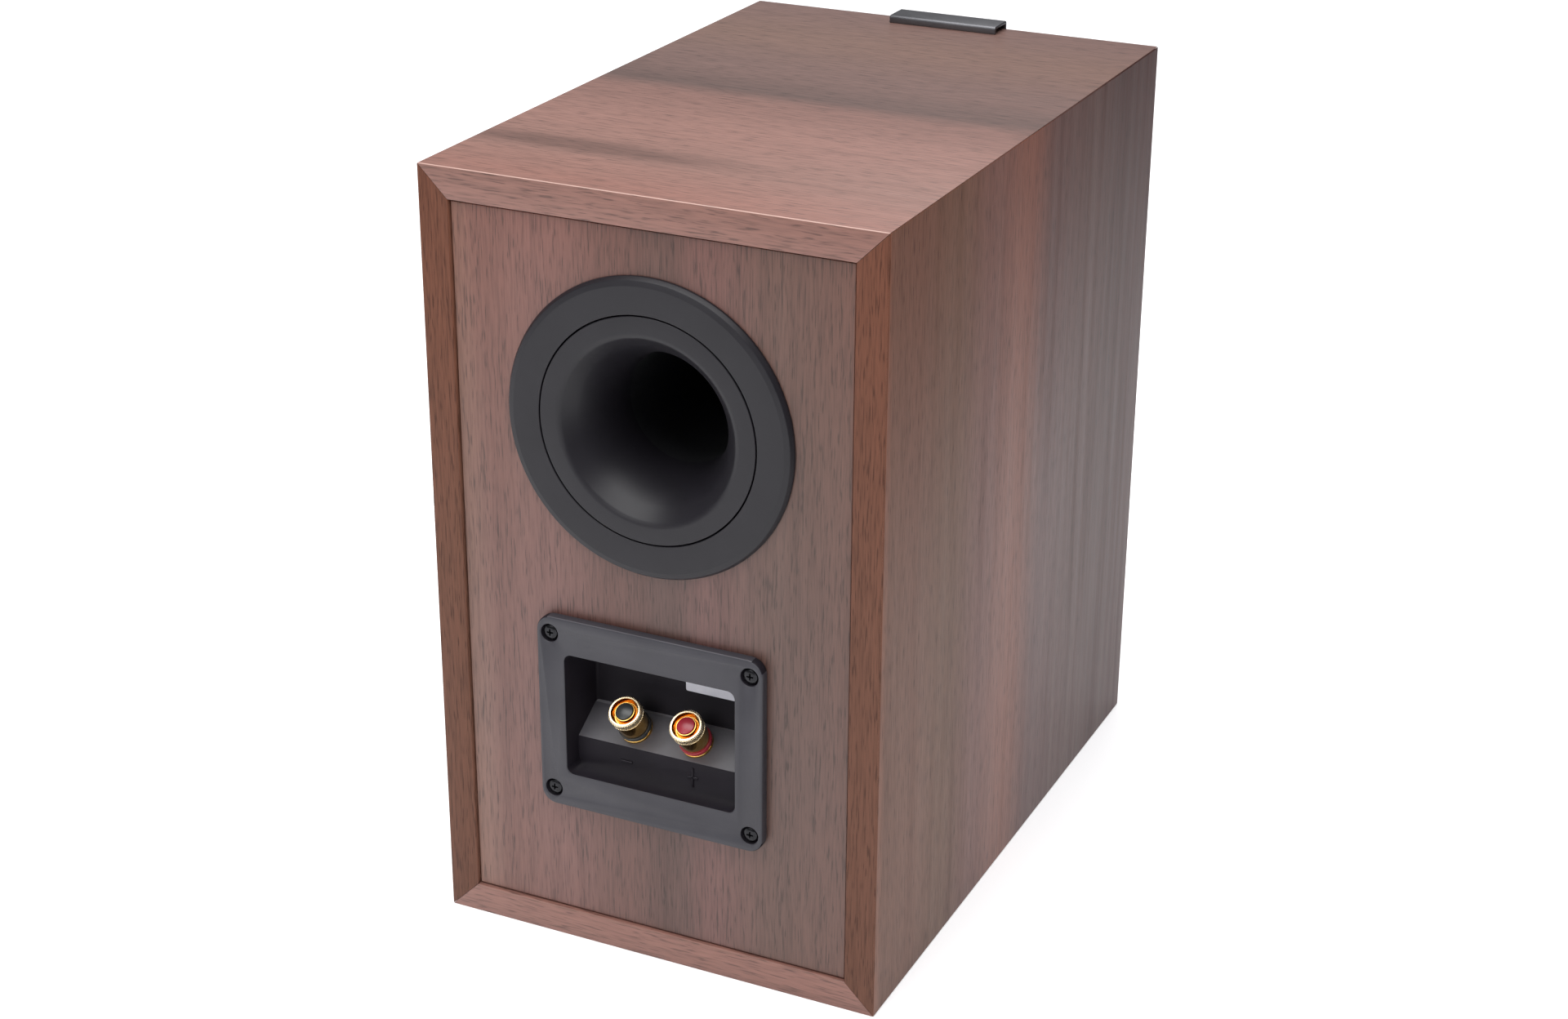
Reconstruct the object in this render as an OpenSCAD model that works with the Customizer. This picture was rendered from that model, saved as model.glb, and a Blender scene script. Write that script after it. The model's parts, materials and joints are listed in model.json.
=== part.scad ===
// Rear-ported two-way bookshelf speaker with its drivers, crossover and binding posts.
// Origin: centre of the cabinet's bottom face. +Z is up and the front faces -Y.

/* [Cabinet] */
// Width of the cabinet
cab_w = 180; // [178:1:230]
// Height of the cabinet
cab_h = 301; // [296:1:380]
// Depth between the front and rear edges of the side panels
cab_d = 274; // [264:1:340]
// Thickness of the side, top and bottom panels
wall_t = 12; // [9:0.5:13]
// Thickness of the rear panel
rear_t = 12; // [9:0.5:16]
// Thickness of the front baffle
baffle_t = 15; // [14:0.5:20]
// Depth that the rear panel sits behind the mitred edges
rear_recess = 1.2; // [0.5:0.1:3]
// Depth that the front baffle sits behind the mitred edges
front_recess = 1; // [0.5:0.1:3]
// Shadow gap around the front and rear panels
shadow_gap = 0.5; // [0.3:0.1:1]
// Thickness of the window brace
brace_t = 12; // [9:0.5:16]
// Distance from the front edges to the brace's front face
brace_from_front = 117; // [100:1:130]
// Frame left around and between the brace's two windows
brace_frame = 22; // [12:1:30]
// Thickness of the felt lining
lining_t = 10; // [5:1:15]

/* [Port] */
// Height of the port's centre
port_z = 216; // [196:1:222]
// Radius of the port's straight bore
port_r = 22; // [18:0.5:24]
// Radius of the flare's mouth
port_mouth_r = 34.9; // [30:0.1:37]
// Radius of the joint between the flare and the trim flange
port_joint_r = 42.6; // [40:0.1:48]
// Outer radius of the trim flange
port_flange_r = 56.2; // [52:0.1:60]
// Height of the trim flange above the rear panel
port_flange_t = 3; // [2:0.1:5]
// Depth of the outer flare
port_flare_depth = 30; // [25:1:40]
// Length of the straight tube
port_tube_len = 80; // [50:1:85]
// Depth of the inner flare
port_end_depth = 15; // [10:1:18]
// Wall thickness of the port pieces
port_wall = 2.5; // [2:0.1:3.5]

/* [Terminal panel] */
// Height of the terminal plate's centre
term_z = 98; // [92:1:104]
// Width of the terminal plate
plate_w = 92; // [91:1:110]
// Height of the terminal plate
plate_h = 78; // [77:1:90]
// Corner radius of the terminal plate
plate_r = 6; // [4:0.5:6.5]
// Height of the plate's face above the cabinet's rear edges
plate_proud = 3.2; // [2.5:0.1:5]
// Width of the recess
recess_w = 69.6; // [56:0.1:71]
// Height of the recess
recess_h = 49.5; // [45:0.1:51]
// Depth of the recess from the plate's face
recess_depth = 20.4; // [19.5:0.1:22]
// Depth of the recess's lower wall from the plate's face
lower_depth = 8; // [7:0.1:9]
// Height of the sloped shelf's lower edge above the recess's floor
shelf_rise = 12.4; // [10:0.1:14]
// Draft of the recess's walls, as the inset at its full depth
recess_draft = 2; // [0.5:0.1:3]
// Wall thickness of the cup
cup_wall = 2.5; // [2:0.1:3]
// Distance between the plate's screws, sideways
screw_dx = 81.4; // [80:0.1:82]
// Distance between the plate's screws, upwards
screw_dz = 64.5; // [64:0.1:66]

/* [Binding posts] */
// Distance between the two posts
post_pitch = 25.3; // [19:0.1:32]
// Distance of a post up the sloped shelf from its lower edge
post_up = 8; // [7.7:0.1:8.6]
// Radius of the knob
knob_r = 6.5; // [6:0.1:7.2]
// Height of the closed knob's face above the shelf
knob_top = 15; // [13:0.1:16]
// Radius of the threaded stud
stud_r = 3; // [2.8:0.1:3.2]
// Radius of the stud's socket for a 4 mm plug
socket_r = 2; // [2:0.05:2.1]
// Radial clearance of the running fits
run_fit = 0.06; // [0.03:0.01:0.1]

/* [Woofer] */
// Height of the woofer's centre
woofer_z = 104; // [100:1:106]
// Outer radius of the woofer's trim ring
woofer_r = 73; // [70:0.5:75]
// Radius of the cone at its edge
cone_r = 52; // [48:0.5:53]
// Depth of the cone
cone_depth = 27; // [22:0.5:30]
// Outer radius of the voice coil's former
coil_r = 13; // [12:0.5:14]
// Outer radius of the ferrite magnet
magnet_r = 42; // [35:0.5:46]
// Thickness of the ferrite magnet
magnet_t = 15; // [10:0.5:20]

/* [Tweeter] */
// Height of the tweeter's centre
tweeter_z = 229; // [227:1:236]
// Outer radius of the tweeter's faceplate
tweeter_r = 46; // [43:0.5:47]
// Radius of the soft dome
dome_r = 12.5; // [12:0.5:13]

/* [Trim clip] */
// Width of the bent-metal trim clip
clip_w = 47.3; // [30:0.1:60]
// Reach of the clip over the top, from the front edges
clip_reach = 12; // [8:0.5:20]
// Rise of the clip above the top
clip_rise = 3.2; // [2.5:0.1:5]
// Length of the clip's front leg below the top
clip_leg = 11; // [8:0.5:12]
// Thickness of the clip's sheet
clip_t = 1.2; // [0.8:0.1:1.5]

/* [Hidden] */
$fn = 72;
eps = 0.01;

// Planes and inner sizes of the cabinet
rear_edge = cab_d / 2;
front_edge = -cab_d / 2;
rear_face = rear_edge - rear_recess;
baffle_face = front_edge + front_recess;
inner_w = cab_w - 2 * wall_t;
inner_top = cab_h - wall_t;
brace_y = front_edge + brace_from_front;

// Port: depths are measured inwards from the rear panel's face
port_clear = 0.05;
port_groove = 0.25;
port_spigot = 8;
port_hole_r = port_joint_r + 1.4;
flare_end = port_flare_depth - port_flange_t;
tube_end = flare_end + port_tube_len;
port_socket = 10;

// Terminal cup: its shelf is square to the posts, which rise at post_tilt
post_tilt = 51;
plate_face = rear_edge + plate_proud;
cup_back = plate_face - recess_depth;
lower_face = plate_face - lower_depth;
recess_floor = term_z - recess_h / 2;
recess_roof = term_z + recess_h / 2;
shelf_z = recess_floor + shelf_rise;
shelf_top_z = shelf_z + (lower_face - cup_back) / tan(post_tilt);
cut_edge = cup_wall + 0.5;
gasket_t = 1;
gasket_w = 2.5;
screw_r = 1.75;
screw_head_r = 2.9;
counterbore_r = 3.55;
counterbore_depth = 2.2;
mark_h = 0.5;
mark_line = 0.8;

// Binding posts: heights are measured from the shelf, along the post
post_y = lower_face - post_up * sin(post_tilt);
post_z = shelf_z + post_up * cos(post_tilt);
flange_t = 1.2;
flange_r = knob_r - 0.2;
part_gap = 0.3;
ring_t = 1.8;
knob_base = flange_t + ring_t + 2 * part_gap;
plug_head_r = 3.4;
plug_seat = knob_top - 2.2;
stud_top = plug_seat - 0.6;
stud_tail = 11;
socket_depth = 9;
tag_t = 0.8;
solder_gap = 0.4;
tag_y = post_y - (cup_wall + tag_t + solder_gap) * cos(post_tilt);
tag_z = post_z - (cup_wall + tag_t + solder_gap) * sin(post_tilt);
washer_t = 1;
nut_t = 4;
nut_r = 5.8;

// Crossover board
board_w = 92;
board_l = 100;
board_t = 1.6;
board_gap = 8;
board_y = 12;
board_top = wall_t + board_gap + board_t;
support_inset = 6;
support_r = 3.5;
support_pin_r = 1.9;

// Woofer: heights are measured outwards from the baffle's face
woofer_rebate = 5;
rebate_clear = 0.3;
flange_face = -0.5;
flange_back = -4;
lip_t = 0.8;
glue_gap = 0.05;
basket_hole_r = woofer_r - 11.5;
roll_r = (woofer_r - 13 - cone_r) / 2;
roll_mid = cone_r + roll_r;
woofer_bolt_r = woofer_r - 5.5;
woofer_bolts = 6;
cone_edge = cone_r - 2;
cone_t = 0.9;
cone_front = flange_face - glue_gap;
neck_z = cone_front - cone_t - cone_depth;
cap_r = coil_r + 4;
cap_rise = 6;
coil_gap = 0.5;
former_t = 0.4;
winding_t = 0.7;
winding_h = 12;
landing_z = neck_z - 9.5;
basket_floor = landing_z - 5;
basket_t = 2.5;
plate_t = 6;
plate_top = basket_floor - 0.5;
magnet_top = plate_top - plate_t;
yoke_top = magnet_top - magnet_t;
former_end = magnet_top - 3;
spider_waves = 3;

// Tweeter: heights are measured outwards from the baffle's face
tweeter_rebate = 4;
tweeter_hole_r = 37;
waveguide_r = 33;
waveguide_depth = 7;
throat_r = dome_r + 2.7;
faceplate_back = -8.5;
suspension_z = faceplate_back - 0.8;
tweeter_bolt_r = tweeter_r - 5;
tweeter_former_r = dome_r - 0.1;
pole_clear = 0.4;

// Wires: points of each route, in millimetres
wire_r = 1.2;
lead_y = tag_y - 4 * cos(post_tilt);
lead_z = tag_z - 4 * sin(post_tilt);
input_routes = [
    [[24, tag_y, tag_z], [24, lead_y, lead_z], [24, 114, 70], [22, 112, 45], [18, 108, 28], [16, 102, 24],
     [16, 98, 23]],
    [[-24, tag_y, tag_z], [-24, lead_y, lead_z], [-24, 114, 70], [-22, 112, 45], [-18, 108, 28],
     [-16, 102, 24], [-16, 98, 23]]
];
woofer_routes = [
    [[6, 22, 23], [6, 14, 24], [5, 0, 34], [5, -30, 40], [4, -70, 38], [4, -92, 46], [4, -96, 50]],
    [[-6, 22, 23], [-6, 14, 24], [-5, 0, 34], [-5, -30, 40], [-4, -70, 38], [-4, -92, 46], [-4, -96, 50]]
];
tweeter_routes = [
    [[36, 22, 23], [36, 14, 26], [46, -6, 50], [52, -40, 90], [50, -46, 160], [30, -60, 215], [8, -92, 229],
     [6, -106, 229]],
    [[30, 22, 23], [30, 14, 26], [40, -6, 50], [46, -40, 90], [44, -46, 160], [22, -60, 221],
     [-4, -92, 229], [-6, -106, 229]]
];

// Shared shapes
module box(lo, hi) translate(lo) cube(hi - lo);
module ring(r_in, r_out, z0, z1)
    rotate_extrude()
        translate([r_in, z0])
            square([r_out - r_in, z1 - z0]);
module disc(r, z0, z1) translate([0, 0, z0]) cylinder(r = r, h = z1 - z0);
module rounded(w, h, r) {
    square([w - 2 * r, h], center = true);
    square([w, h - 2 * r], center = true);
    for (x = [-1, 1], y = [-1, 1])
        translate([x * (w / 2 - r), y * (h / 2 - r)])
            circle(r);
}
module along_y(l) translate([0, l / 2, 0]) rotate([90, 0, 0]) linear_extrude(l) children();
module along_x(l) rotate([90, 0, 90]) translate([0, 0, -l / 2]) linear_extrude(l) children();
module on_front(z) translate([0, baffle_face, z]) rotate([90, 0, 0]) children();
module on_rear(z) translate([0, rear_face, z]) rotate([-90, 0, 0]) children();
module on_post(x) translate([x, post_y, post_z]) rotate([post_tilt - 90, 0, 0]) children();
module at_plate_screws()
    for (x = [-1, 1], z = [-1, 1])
        translate([x * screw_dx / 2, 0, z * screw_dz / 2])
            children();
module around(count, r)
    for (i = [0:count - 1])
        rotate([0, 0, (i + 0.5) * 360 / count])
            translate([r, 0, 0])
                children();

function arc(centre, r, a0, a1, steps) =
    [for (i = [0:steps]) centre + r * [cos(a0 + (a1 - a0) * i / steps), sin(a0 + (a1 - a0) * i / steps)]];
function reversed(list) = [for (i = [len(list) - 1:-1:0]) list[i]];

// ---- Cabinet ----

// Panel with its outer half clear of the walls and its inner half glued between them
module inset_panel(face, inward, t) {
    half = t / 2;
    for (part = [[shadow_gap, 0, half], [0, half, t]]) {
        gap = part[0];
        ya = face + inward * part[1];
        yb = face + inward * part[2];
        box(
            [-inner_w / 2 + gap, min(ya, yb), wall_t + gap],
            [inner_w / 2 - gap, max(ya, yb), inner_top - gap]
        );
    }
}

module side_panel(side)
    color("rosybrown")
        along_y(cab_d)
            polygon([
                [side * cab_w / 2, 0],
                [side * cab_w / 2, cab_h],
                [side * inner_w / 2, inner_top],
                [side * inner_w / 2, wall_t]
            ]);

// The left side is the one on the left as the front is seen
module side_panel_left() side_panel(-1);
module side_panel_right() side_panel(1);

module level_panel(outer, inner)
    color("rosybrown")
        along_y(cab_d)
            polygon([[-cab_w / 2, outer], [cab_w / 2, outer], [inner_w / 2, inner], [-inner_w / 2, inner]]);

module top_panel() level_panel(cab_h, inner_top);
module bottom_panel() level_panel(0, wall_t);

module front_baffle()
    color("dimgray")
        difference() {
            inset_panel(baffle_face, 1, baffle_t);
            on_front(woofer_z) {
                disc(woofer_r + rebate_clear, -woofer_rebate, 1);
                disc(basket_hole_r, -baffle_t - 1, 0);
                around(woofer_bolts, woofer_bolt_r)
                    disc(screw_r, -baffle_t + 0.5, 0);
            }
            on_front(tweeter_z) {
                disc(tweeter_r + rebate_clear, -tweeter_rebate, 1);
                disc(tweeter_hole_r, -baffle_t - 1, 0);
                around(4, tweeter_bolt_r)
                    disc(screw_r, -baffle_t + 1, 0);
            }
        }

module rear_panel()
    color("rosybrown")
        difference() {
            inset_panel(rear_face, -1, rear_t);
            on_rear(port_z)
                disc(port_hole_r, -rear_t - 1, 1);
            box(
                [-recess_w / 2 - cut_edge, rear_face - rear_t - 1, recess_floor - cut_edge],
                [recess_w / 2 + cut_edge, rear_face + 1, recess_roof + cut_edge]
            );
            translate([0, rear_face, term_z])
                at_plate_screws()
                    rotate([90, 0, 0])
                        disc(screw_r, -1, rear_t - 1);
        }

module window_brace() {
    window_h = (inner_top - wall_t - 3 * brace_frame) / 2;
    color("tan")
        difference() {
            box([-inner_w / 2, brace_y, wall_t], [inner_w / 2, brace_y + brace_t, inner_top]);
            for (z = [wall_t + brace_frame, wall_t + 2 * brace_frame + window_h])
                box(
                    [-inner_w / 2 + brace_frame, brace_y - 1, z],
                    [inner_w / 2 - brace_frame, brace_y + brace_t + 1, z + window_h]
                );
        }
}

module side_linings()
    color("silver")
        for (side = [-1, 1])
            translate([side * (inner_w - lining_t) / 2, 0, 0])
                box(
                    [-lining_t / 2, brace_y + brace_t + 4, wall_t + 30],
                    [lining_t / 2, rear_face - rear_t - 6, inner_top - lining_t - 4]
                );

module top_lining()
    color("silver")
        box(
            [-inner_w / 2 + 2, brace_y + brace_t + 4, inner_top - lining_t],
            [inner_w / 2 - 2, rear_face - rear_t - 6, inner_top]
        );

// Bent sheet: a short rear lip, a flat top and a leg down the front edge
module trim_clip()
    color("gray")
        along_x(clip_w)
            polygon([
                [front_edge + clip_reach, cab_h],
                [front_edge + clip_reach, cab_h + clip_rise],
                [front_edge - clip_t, cab_h + clip_rise],
                [front_edge - clip_t, cab_h - clip_leg],
                [front_edge, cab_h - clip_leg],
                [front_edge, cab_h + clip_rise - clip_t],
                [front_edge + clip_reach - clip_t, cab_h + clip_rise - clip_t],
                [front_edge + clip_reach - clip_t, cab_h]
            ]);

// ---- Port ----

// Arc from the mouth to the straight bore, which it meets without a corner
function flare_arc(mouth, depth, steps) =
    let (swing = 2 * atan((mouth - port_r) / depth), r = depth / sin(swing))
    [for (i = [0:steps]) let (a = swing * (1 - i / steps)) [port_r + r * (1 - cos(a)), r * sin(a)]];

module port_flange()
    color("darkslategray")
        on_rear(port_z)
            rotate_extrude()
                polygon([
                    [port_joint_r + port_groove, -port_spigot],
                    [port_hole_r, -port_spigot],
                    [port_hole_r, 0],
                    [port_flange_r, 0],
                    [port_flange_r, port_flange_t - 2],
                    [port_flange_r - 0.9, port_flange_t - 0.7],
                    [port_flange_r - 3, port_flange_t],
                    [port_joint_r + port_groove, port_flange_t]
                ]);

module port_flare() {
    inner = flare_arc(port_mouth_r, port_flare_depth, 14);
    outer = flare_arc(port_mouth_r, port_flare_depth - 4, 8);
    body_r = port_r + port_wall;
    collar_r = body_r + port_clear;
    color("darkslategray")
        on_rear(port_z)
            rotate_extrude()
                polygon(concat(
                    [for (p = inner) [p[0], p[1] - flare_end]],
                    [
                        [collar_r, -flare_end],
                        [collar_r, -flare_end - port_socket],
                        [collar_r + port_wall, -flare_end - port_socket]
                    ],
                    [for (p = reversed(outer)) [p[0] + 2 * port_wall + port_clear, p[1] - flare_end]],
                    [
                        [port_joint_r, -port_spigot - 4],
                        [port_hole_r, -port_spigot - 2],
                        [port_hole_r, -port_spigot],
                        [port_joint_r - port_groove, -port_spigot],
                        [port_joint_r - port_groove, port_flange_t]
                    ]
                ));
}

module port_tube()
    color("black")
        on_rear(port_z)
            ring(port_r, port_r + port_wall, -tube_end, -flare_end);

module port_inner_flare() {
    mouth = flare_arc(port_r + 8, port_end_depth, 8);
    collar_r = port_r + port_wall + port_clear;
    color("darkslategray")
        on_rear(port_z)
            rotate_extrude()
                polygon(concat(
                    [
                        [collar_r + port_wall, -tube_end + port_socket],
                        [collar_r, -tube_end + port_socket],
                        [collar_r, -tube_end]
                    ],
                    [for (p = reversed(mouth)) [p[0], -tube_end - p[1]]],
                    [for (p = mouth) [p[0] + 2 * port_wall + port_clear, -tube_end - p[1]]]
                ));
}

// ---- Terminal panel ----

module recess() {
    back_w = recess_w - 2 * recess_draft;
    back_h = recess_h - recess_draft;
    difference() {
        hull() {
            translate([0, plate_face + 1, term_z])
                rotate([90, 0, 0])
                    linear_extrude(1)
                        rounded(recess_w, recess_h, 3, $fn = 32);
            translate([0, cup_back + eps, term_z])
                rotate([90, 0, 0])
                    linear_extrude(eps)
                        rounded(back_w, back_h, 2, $fn = 32);
        }
        along_x(cab_w)
            polygon([
                [lower_face, 0],
                [lower_face, shelf_z],
                [cup_back, shelf_top_z],
                [cup_back - 2 * recess_depth, shelf_top_z],
                [cup_back - 2 * recess_depth, 0]
            ]);
    }
}

module terminal_cup() {
    slope_drop = cup_wall * (1 - cos(post_tilt)) / sin(post_tilt);
    color("dimgray") {
        difference() {
            union() {
                translate([0, plate_face, term_z])
                    rotate([90, 0, 0])
                        linear_extrude(plate_face - rear_face)
                            rounded(plate_w, plate_h, plate_r);
                along_x(recess_w + 2 * cup_wall)
                    polygon([
                        [rear_face + eps, recess_roof + cup_wall],
                        [cup_back - cup_wall, recess_roof + cup_wall],
                        [cup_back - cup_wall, shelf_top_z - slope_drop],
                        [lower_face - cup_wall, shelf_z - slope_drop],
                        [lower_face - cup_wall, recess_floor - cup_wall],
                        [rear_face + eps, recess_floor - cup_wall]
                    ]);
            }
            recess();
            for (side = [-1, 1])
                on_post(side * post_pitch / 2)
                    disc(stud_r + run_fit, -cup_wall - 2, 1);
            translate([0, plate_face, term_z])
                at_plate_screws()
                    rotate([90, 0, 0]) {
                        disc(counterbore_r, -1, counterbore_depth);
                        disc(screw_r + 0.2, 0, plate_face - rear_face + 1);
                    }
            translate([0, rear_face, term_z])
                rotate([90, 0, 0])
                    translate([0, 0, -gasket_t])
                        linear_extrude(gasket_t + 1)
                            gasket_outline();
        }
        // Polarity marks under the posts: a plus on the positive side and a bar on the other
        mark_x = post_pitch / 2 + 1.2;
        mark_z = recess_floor + shelf_rise * 0.5;
        for (size = [[4.4, mark_line], [mark_line, 7.6]])
            box(
                [-mark_x - size[0] / 2, lower_face - eps, mark_z - size[1] / 2],
                [-mark_x + size[0] / 2, lower_face + mark_h, mark_z + size[1] / 2]
            );
        box(
            [mark_x - 2.5, lower_face - eps, mark_z - mark_line / 2],
            [mark_x + 2.5, lower_face + mark_h, mark_z + mark_line / 2]
        );
    }
}

module gasket_outline() {
    inner = [recess_w + 2 * cup_wall + 0.6, recess_h + 2 * cup_wall + 0.6];
    difference() {
        rounded(inner[0] + 2 * gasket_w, inner[1] + 2 * gasket_w, 3);
        rounded(inner[0], inner[1], 1);
    }
}

module terminal_gasket()
    color("black")
        translate([0, rear_face + gasket_t, term_z])
            rotate([90, 0, 0])
                linear_extrude(gasket_t)
                    gasket_outline();

module terminal_screws()
    color("black")
        translate([0, plate_face, term_z])
            at_plate_screws()
                rotate([90, 0, 0])
                    difference() {
                        union() {
                            disc(screw_head_r, 0.5, counterbore_depth);
                            disc(screw_r, counterbore_depth - eps, rear_t + plate_face - rear_face - 2);
                        }
                        for (turn = [0, 90])
                            rotate([0, 0, turn])
                                box([-1.9, -0.35, 0], [1.9, 0.35, 1.6]);
                    }

module rating_label()
    color("gainsboro")
        box([-29.6, cup_back, recess_roof - 15], [-5, cup_back + 0.2, recess_roof - 7]);

// ---- Binding posts ----

module stud()
    color("goldenrod")
        difference() {
            union() {
                disc(stud_r, -stud_tail, stud_top);
                disc(flange_r, 0, flange_t);
            }
            disc(socket_r, stud_top - socket_depth, stud_top + 1);
            // Cross hole for a bare wire
            translate([0, 0, knob_base + 1.5])
                rotate([0, 90, 0])
                    disc(1.4, -stud_r - 1, stud_r + 1);
        }

module clamp_ring(tint)
    color(tint)
        ring(stud_r + run_fit, flange_r, flange_t + part_gap, flange_t + part_gap + ring_t);

module knob()
    color("gold")
        rotate_extrude()
            polygon([
                [stud_r + run_fit, knob_base],
                [knob_r - 0.9, knob_base],
                [knob_r - 0.5, knob_base + 0.4],
                [knob_r - 0.5, knob_top - 3.6],
                [knob_r, knob_top - 3.1],
                [knob_r, knob_top - 0.5],
                [knob_r - 0.5, knob_top],
                [knob_r - 1.3, knob_top],
                [knob_r - 1.6, knob_top - 3],
                [plug_head_r + 0.7, knob_top - 3],
                [plug_head_r + 0.5, knob_top - 0.4],
                [plug_head_r + 0.1, knob_top - 0.4],
                [plug_head_r + 0.1, plug_seat],
                [stud_r + run_fit, plug_seat]
            ]);

module plug(tint) {
    dome = arc([0, knob_top - 9.4], 10, 90, 90 - asin(plug_head_r / 10), 6);
    color(tint)
        rotate_extrude()
            polygon(concat(
                dome,
                [
                    [plug_head_r, plug_seat + 0.05],
                    [socket_r - run_fit, plug_seat + 0.05],
                    [socket_r - run_fit, stud_top - socket_depth + 2],
                    [0, stud_top - socket_depth + 2]
                ]
            ));
}

module tag(side)
    color("goldenrod")
        difference() {
            union() {
                disc(5.4, -cup_wall - tag_t, -cup_wall);
                translate([side * 7, 0, -cup_wall - tag_t / 2])
                    cube([12, 4, tag_t], center = true);
            }
            disc(stud_r + run_fit, -cup_wall - 2, 0);
        }

module lock_washer()
    color("silver")
        ring(stud_r + run_fit, 4.8, -cup_wall - tag_t - washer_t, -cup_wall - tag_t);

module nut() {
    top = -cup_wall - tag_t - washer_t;
    color("goldenrod")
        difference() {
            translate([0, 0, top - nut_t])
                cylinder(r = nut_r, h = nut_t, $fn = 6);
            disc(stud_r + run_fit, top - nut_t - 1, top + 1);
        }
}

// The positive post is on the left as the front is seen
module positive_stud() on_post(-post_pitch / 2) stud();
module positive_clamp_ring() on_post(-post_pitch / 2) clamp_ring("firebrick");
module positive_knob() on_post(-post_pitch / 2) knob();
module positive_plug() on_post(-post_pitch / 2) plug("firebrick");
module positive_tag() on_post(-post_pitch / 2) tag(-1);
module positive_washer() on_post(-post_pitch / 2) lock_washer();
module positive_nut() on_post(-post_pitch / 2) nut();
module negative_stud() on_post(post_pitch / 2) stud();
module negative_clamp_ring() on_post(post_pitch / 2) clamp_ring("black");
module negative_knob() on_post(post_pitch / 2) knob();
module negative_plug() on_post(post_pitch / 2) plug("black");
module negative_tag() on_post(post_pitch / 2) tag(1);
module negative_washer() on_post(post_pitch / 2) lock_washer();
module negative_nut() on_post(post_pitch / 2) nut();

// ---- Crossover ----

module at_board_corners()
    for (x = [-1, 1], y = [support_inset, board_l - support_inset])
        translate([x * (board_w / 2 - support_inset), board_y + y, 0])
            children();

module crossover_board()
    color("darkgreen")
        difference() {
            box([-board_w / 2, board_y, board_top - board_t], [board_w / 2, board_y + board_l, board_top]);
            at_board_corners()
                disc(support_pin_r + 0.1, board_top - board_t - 1, board_top + 1);
        }

module crossover_supports()
    color("white")
        at_board_corners() {
            disc(support_r, wall_t, board_top - board_t);
            disc(support_pin_r, board_top - board_t - eps, board_top + eps);
            disc(support_r - 0.9, board_top, board_top + 1.5);
        }

// Coil wound between two bobbin cheeks
module inductor(r, h, cheek)
    translate([0, 0, board_top]) {
        ring(r * 0.35, r, 0, cheek);
        ring(r * 0.35, r - 1, cheek - eps, h - cheek + eps);
        ring(r * 0.35, r, h - cheek, h);
    }

module woofer_inductor() color("peru") translate([-24, board_y + 34, 0]) inductor(18, 24, 2);
module tweeter_inductor() color("peru") translate([24, board_y + 30, 0]) inductor(13, 14, 1.5);

module capacitors()
    color("steelblue") {
        translate([24, board_y + 60, board_top + 8])
            rotate([0, 90, 0])
                disc(8, -15, 15);
        translate([24, board_y + 80, board_top + 6])
            rotate([0, 90, 0])
                disc(6, -12, 12);
    }

module resistors()
    color("white")
        for (y = [64, 78])
            box([-34, board_y + y, board_top], [-12, board_y + y + 8, board_top + 8]);

// ---- Woofer ----

module woofer_trim_ring()
    color("black")
        on_front(woofer_z)
            rotate_extrude()
                polygon([
                    [woofer_r - 9, flange_face],
                    [woofer_r, flange_face],
                    [woofer_r, 1],
                    [woofer_r - 0.6, 1.7],
                    [woofer_r - 1.8, 2],
                    [woofer_r - 9, 2],
                    [woofer_r - 11.2, 1],
                    [woofer_r - 11.2, flange_face + lip_t],
                    [woofer_r - 9, flange_face + lip_t]
                ]);

module woofer_gasket()
    color("dimgray")
        on_front(woofer_z)
            difference() {
                ring(basket_hole_r + 1, woofer_r - 1, -woofer_rebate, flange_back);
                around(woofer_bolts, woofer_bolt_r)
                    disc(screw_r + 0.4, -woofer_rebate - 1, flange_back + 1);
            }

// Conical wall, cut into six legs by windows
module basket_legs(top_r, foot_r)
    difference() {
        rotate_extrude()
            polygon([
                [top_r - basket_t, flange_back + 1],
                [top_r, flange_back + 1],
                [top_r, flange_back],
                [foot_r, basket_floor + 2],
                [foot_r, basket_floor],
                [foot_r - basket_t, basket_floor],
                [foot_r - basket_t, basket_floor + 2],
                [top_r - basket_t, flange_back]
            ]);
        for (i = [0:5])
            rotate([0, 0, 60 * i])
                translate([0, 0, basket_floor + 2.5])
                    linear_extrude(flange_back - basket_floor - 3)
                        polygon([[20, 0], [2 * top_r, -top_r * tan(36)], [2 * top_r, top_r * tan(36)]]);
    }

module woofer_basket() {
    top_r = basket_hole_r - 0.6;
    foot_r = magnet_r;
    color("darkgray")
        on_front(woofer_z)
            difference() {
                union() {
                    ring(top_r - basket_t, woofer_r - 0.5, flange_back, flange_face);
                    ring(coil_r + winding_t + 1.4, foot_r, basket_floor - 0.5, basket_floor + 2);
                    // Landing for the spider, on a short wall
                    ring(foot_r - 7, foot_r - 3, basket_floor, landing_z);
                    basket_legs(top_r, foot_r);
                    // Block that carries the solder tags, on the lowest leg's foot
                    translate([0, -foot_r - 2, basket_floor + 6])
                        cube([16, 8, 10], center = true);
                }
                around(woofer_bolts, woofer_bolt_r) {
                    disc(screw_r + 0.3, flange_back - 1, flange_face + 1);
                    disc(screw_head_r + 0.4, flange_face - 1.8, flange_face + 1);
                }
            }
}

module woofer_screws()
    color("black")
        on_front(woofer_z)
            around(woofer_bolts, woofer_bolt_r) {
                disc(screw_head_r, flange_face - 1.8, flange_face - 0.2);
                disc(screw_r, -baffle_t + 0.5, flange_face - 1.8 + eps);
            }

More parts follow.
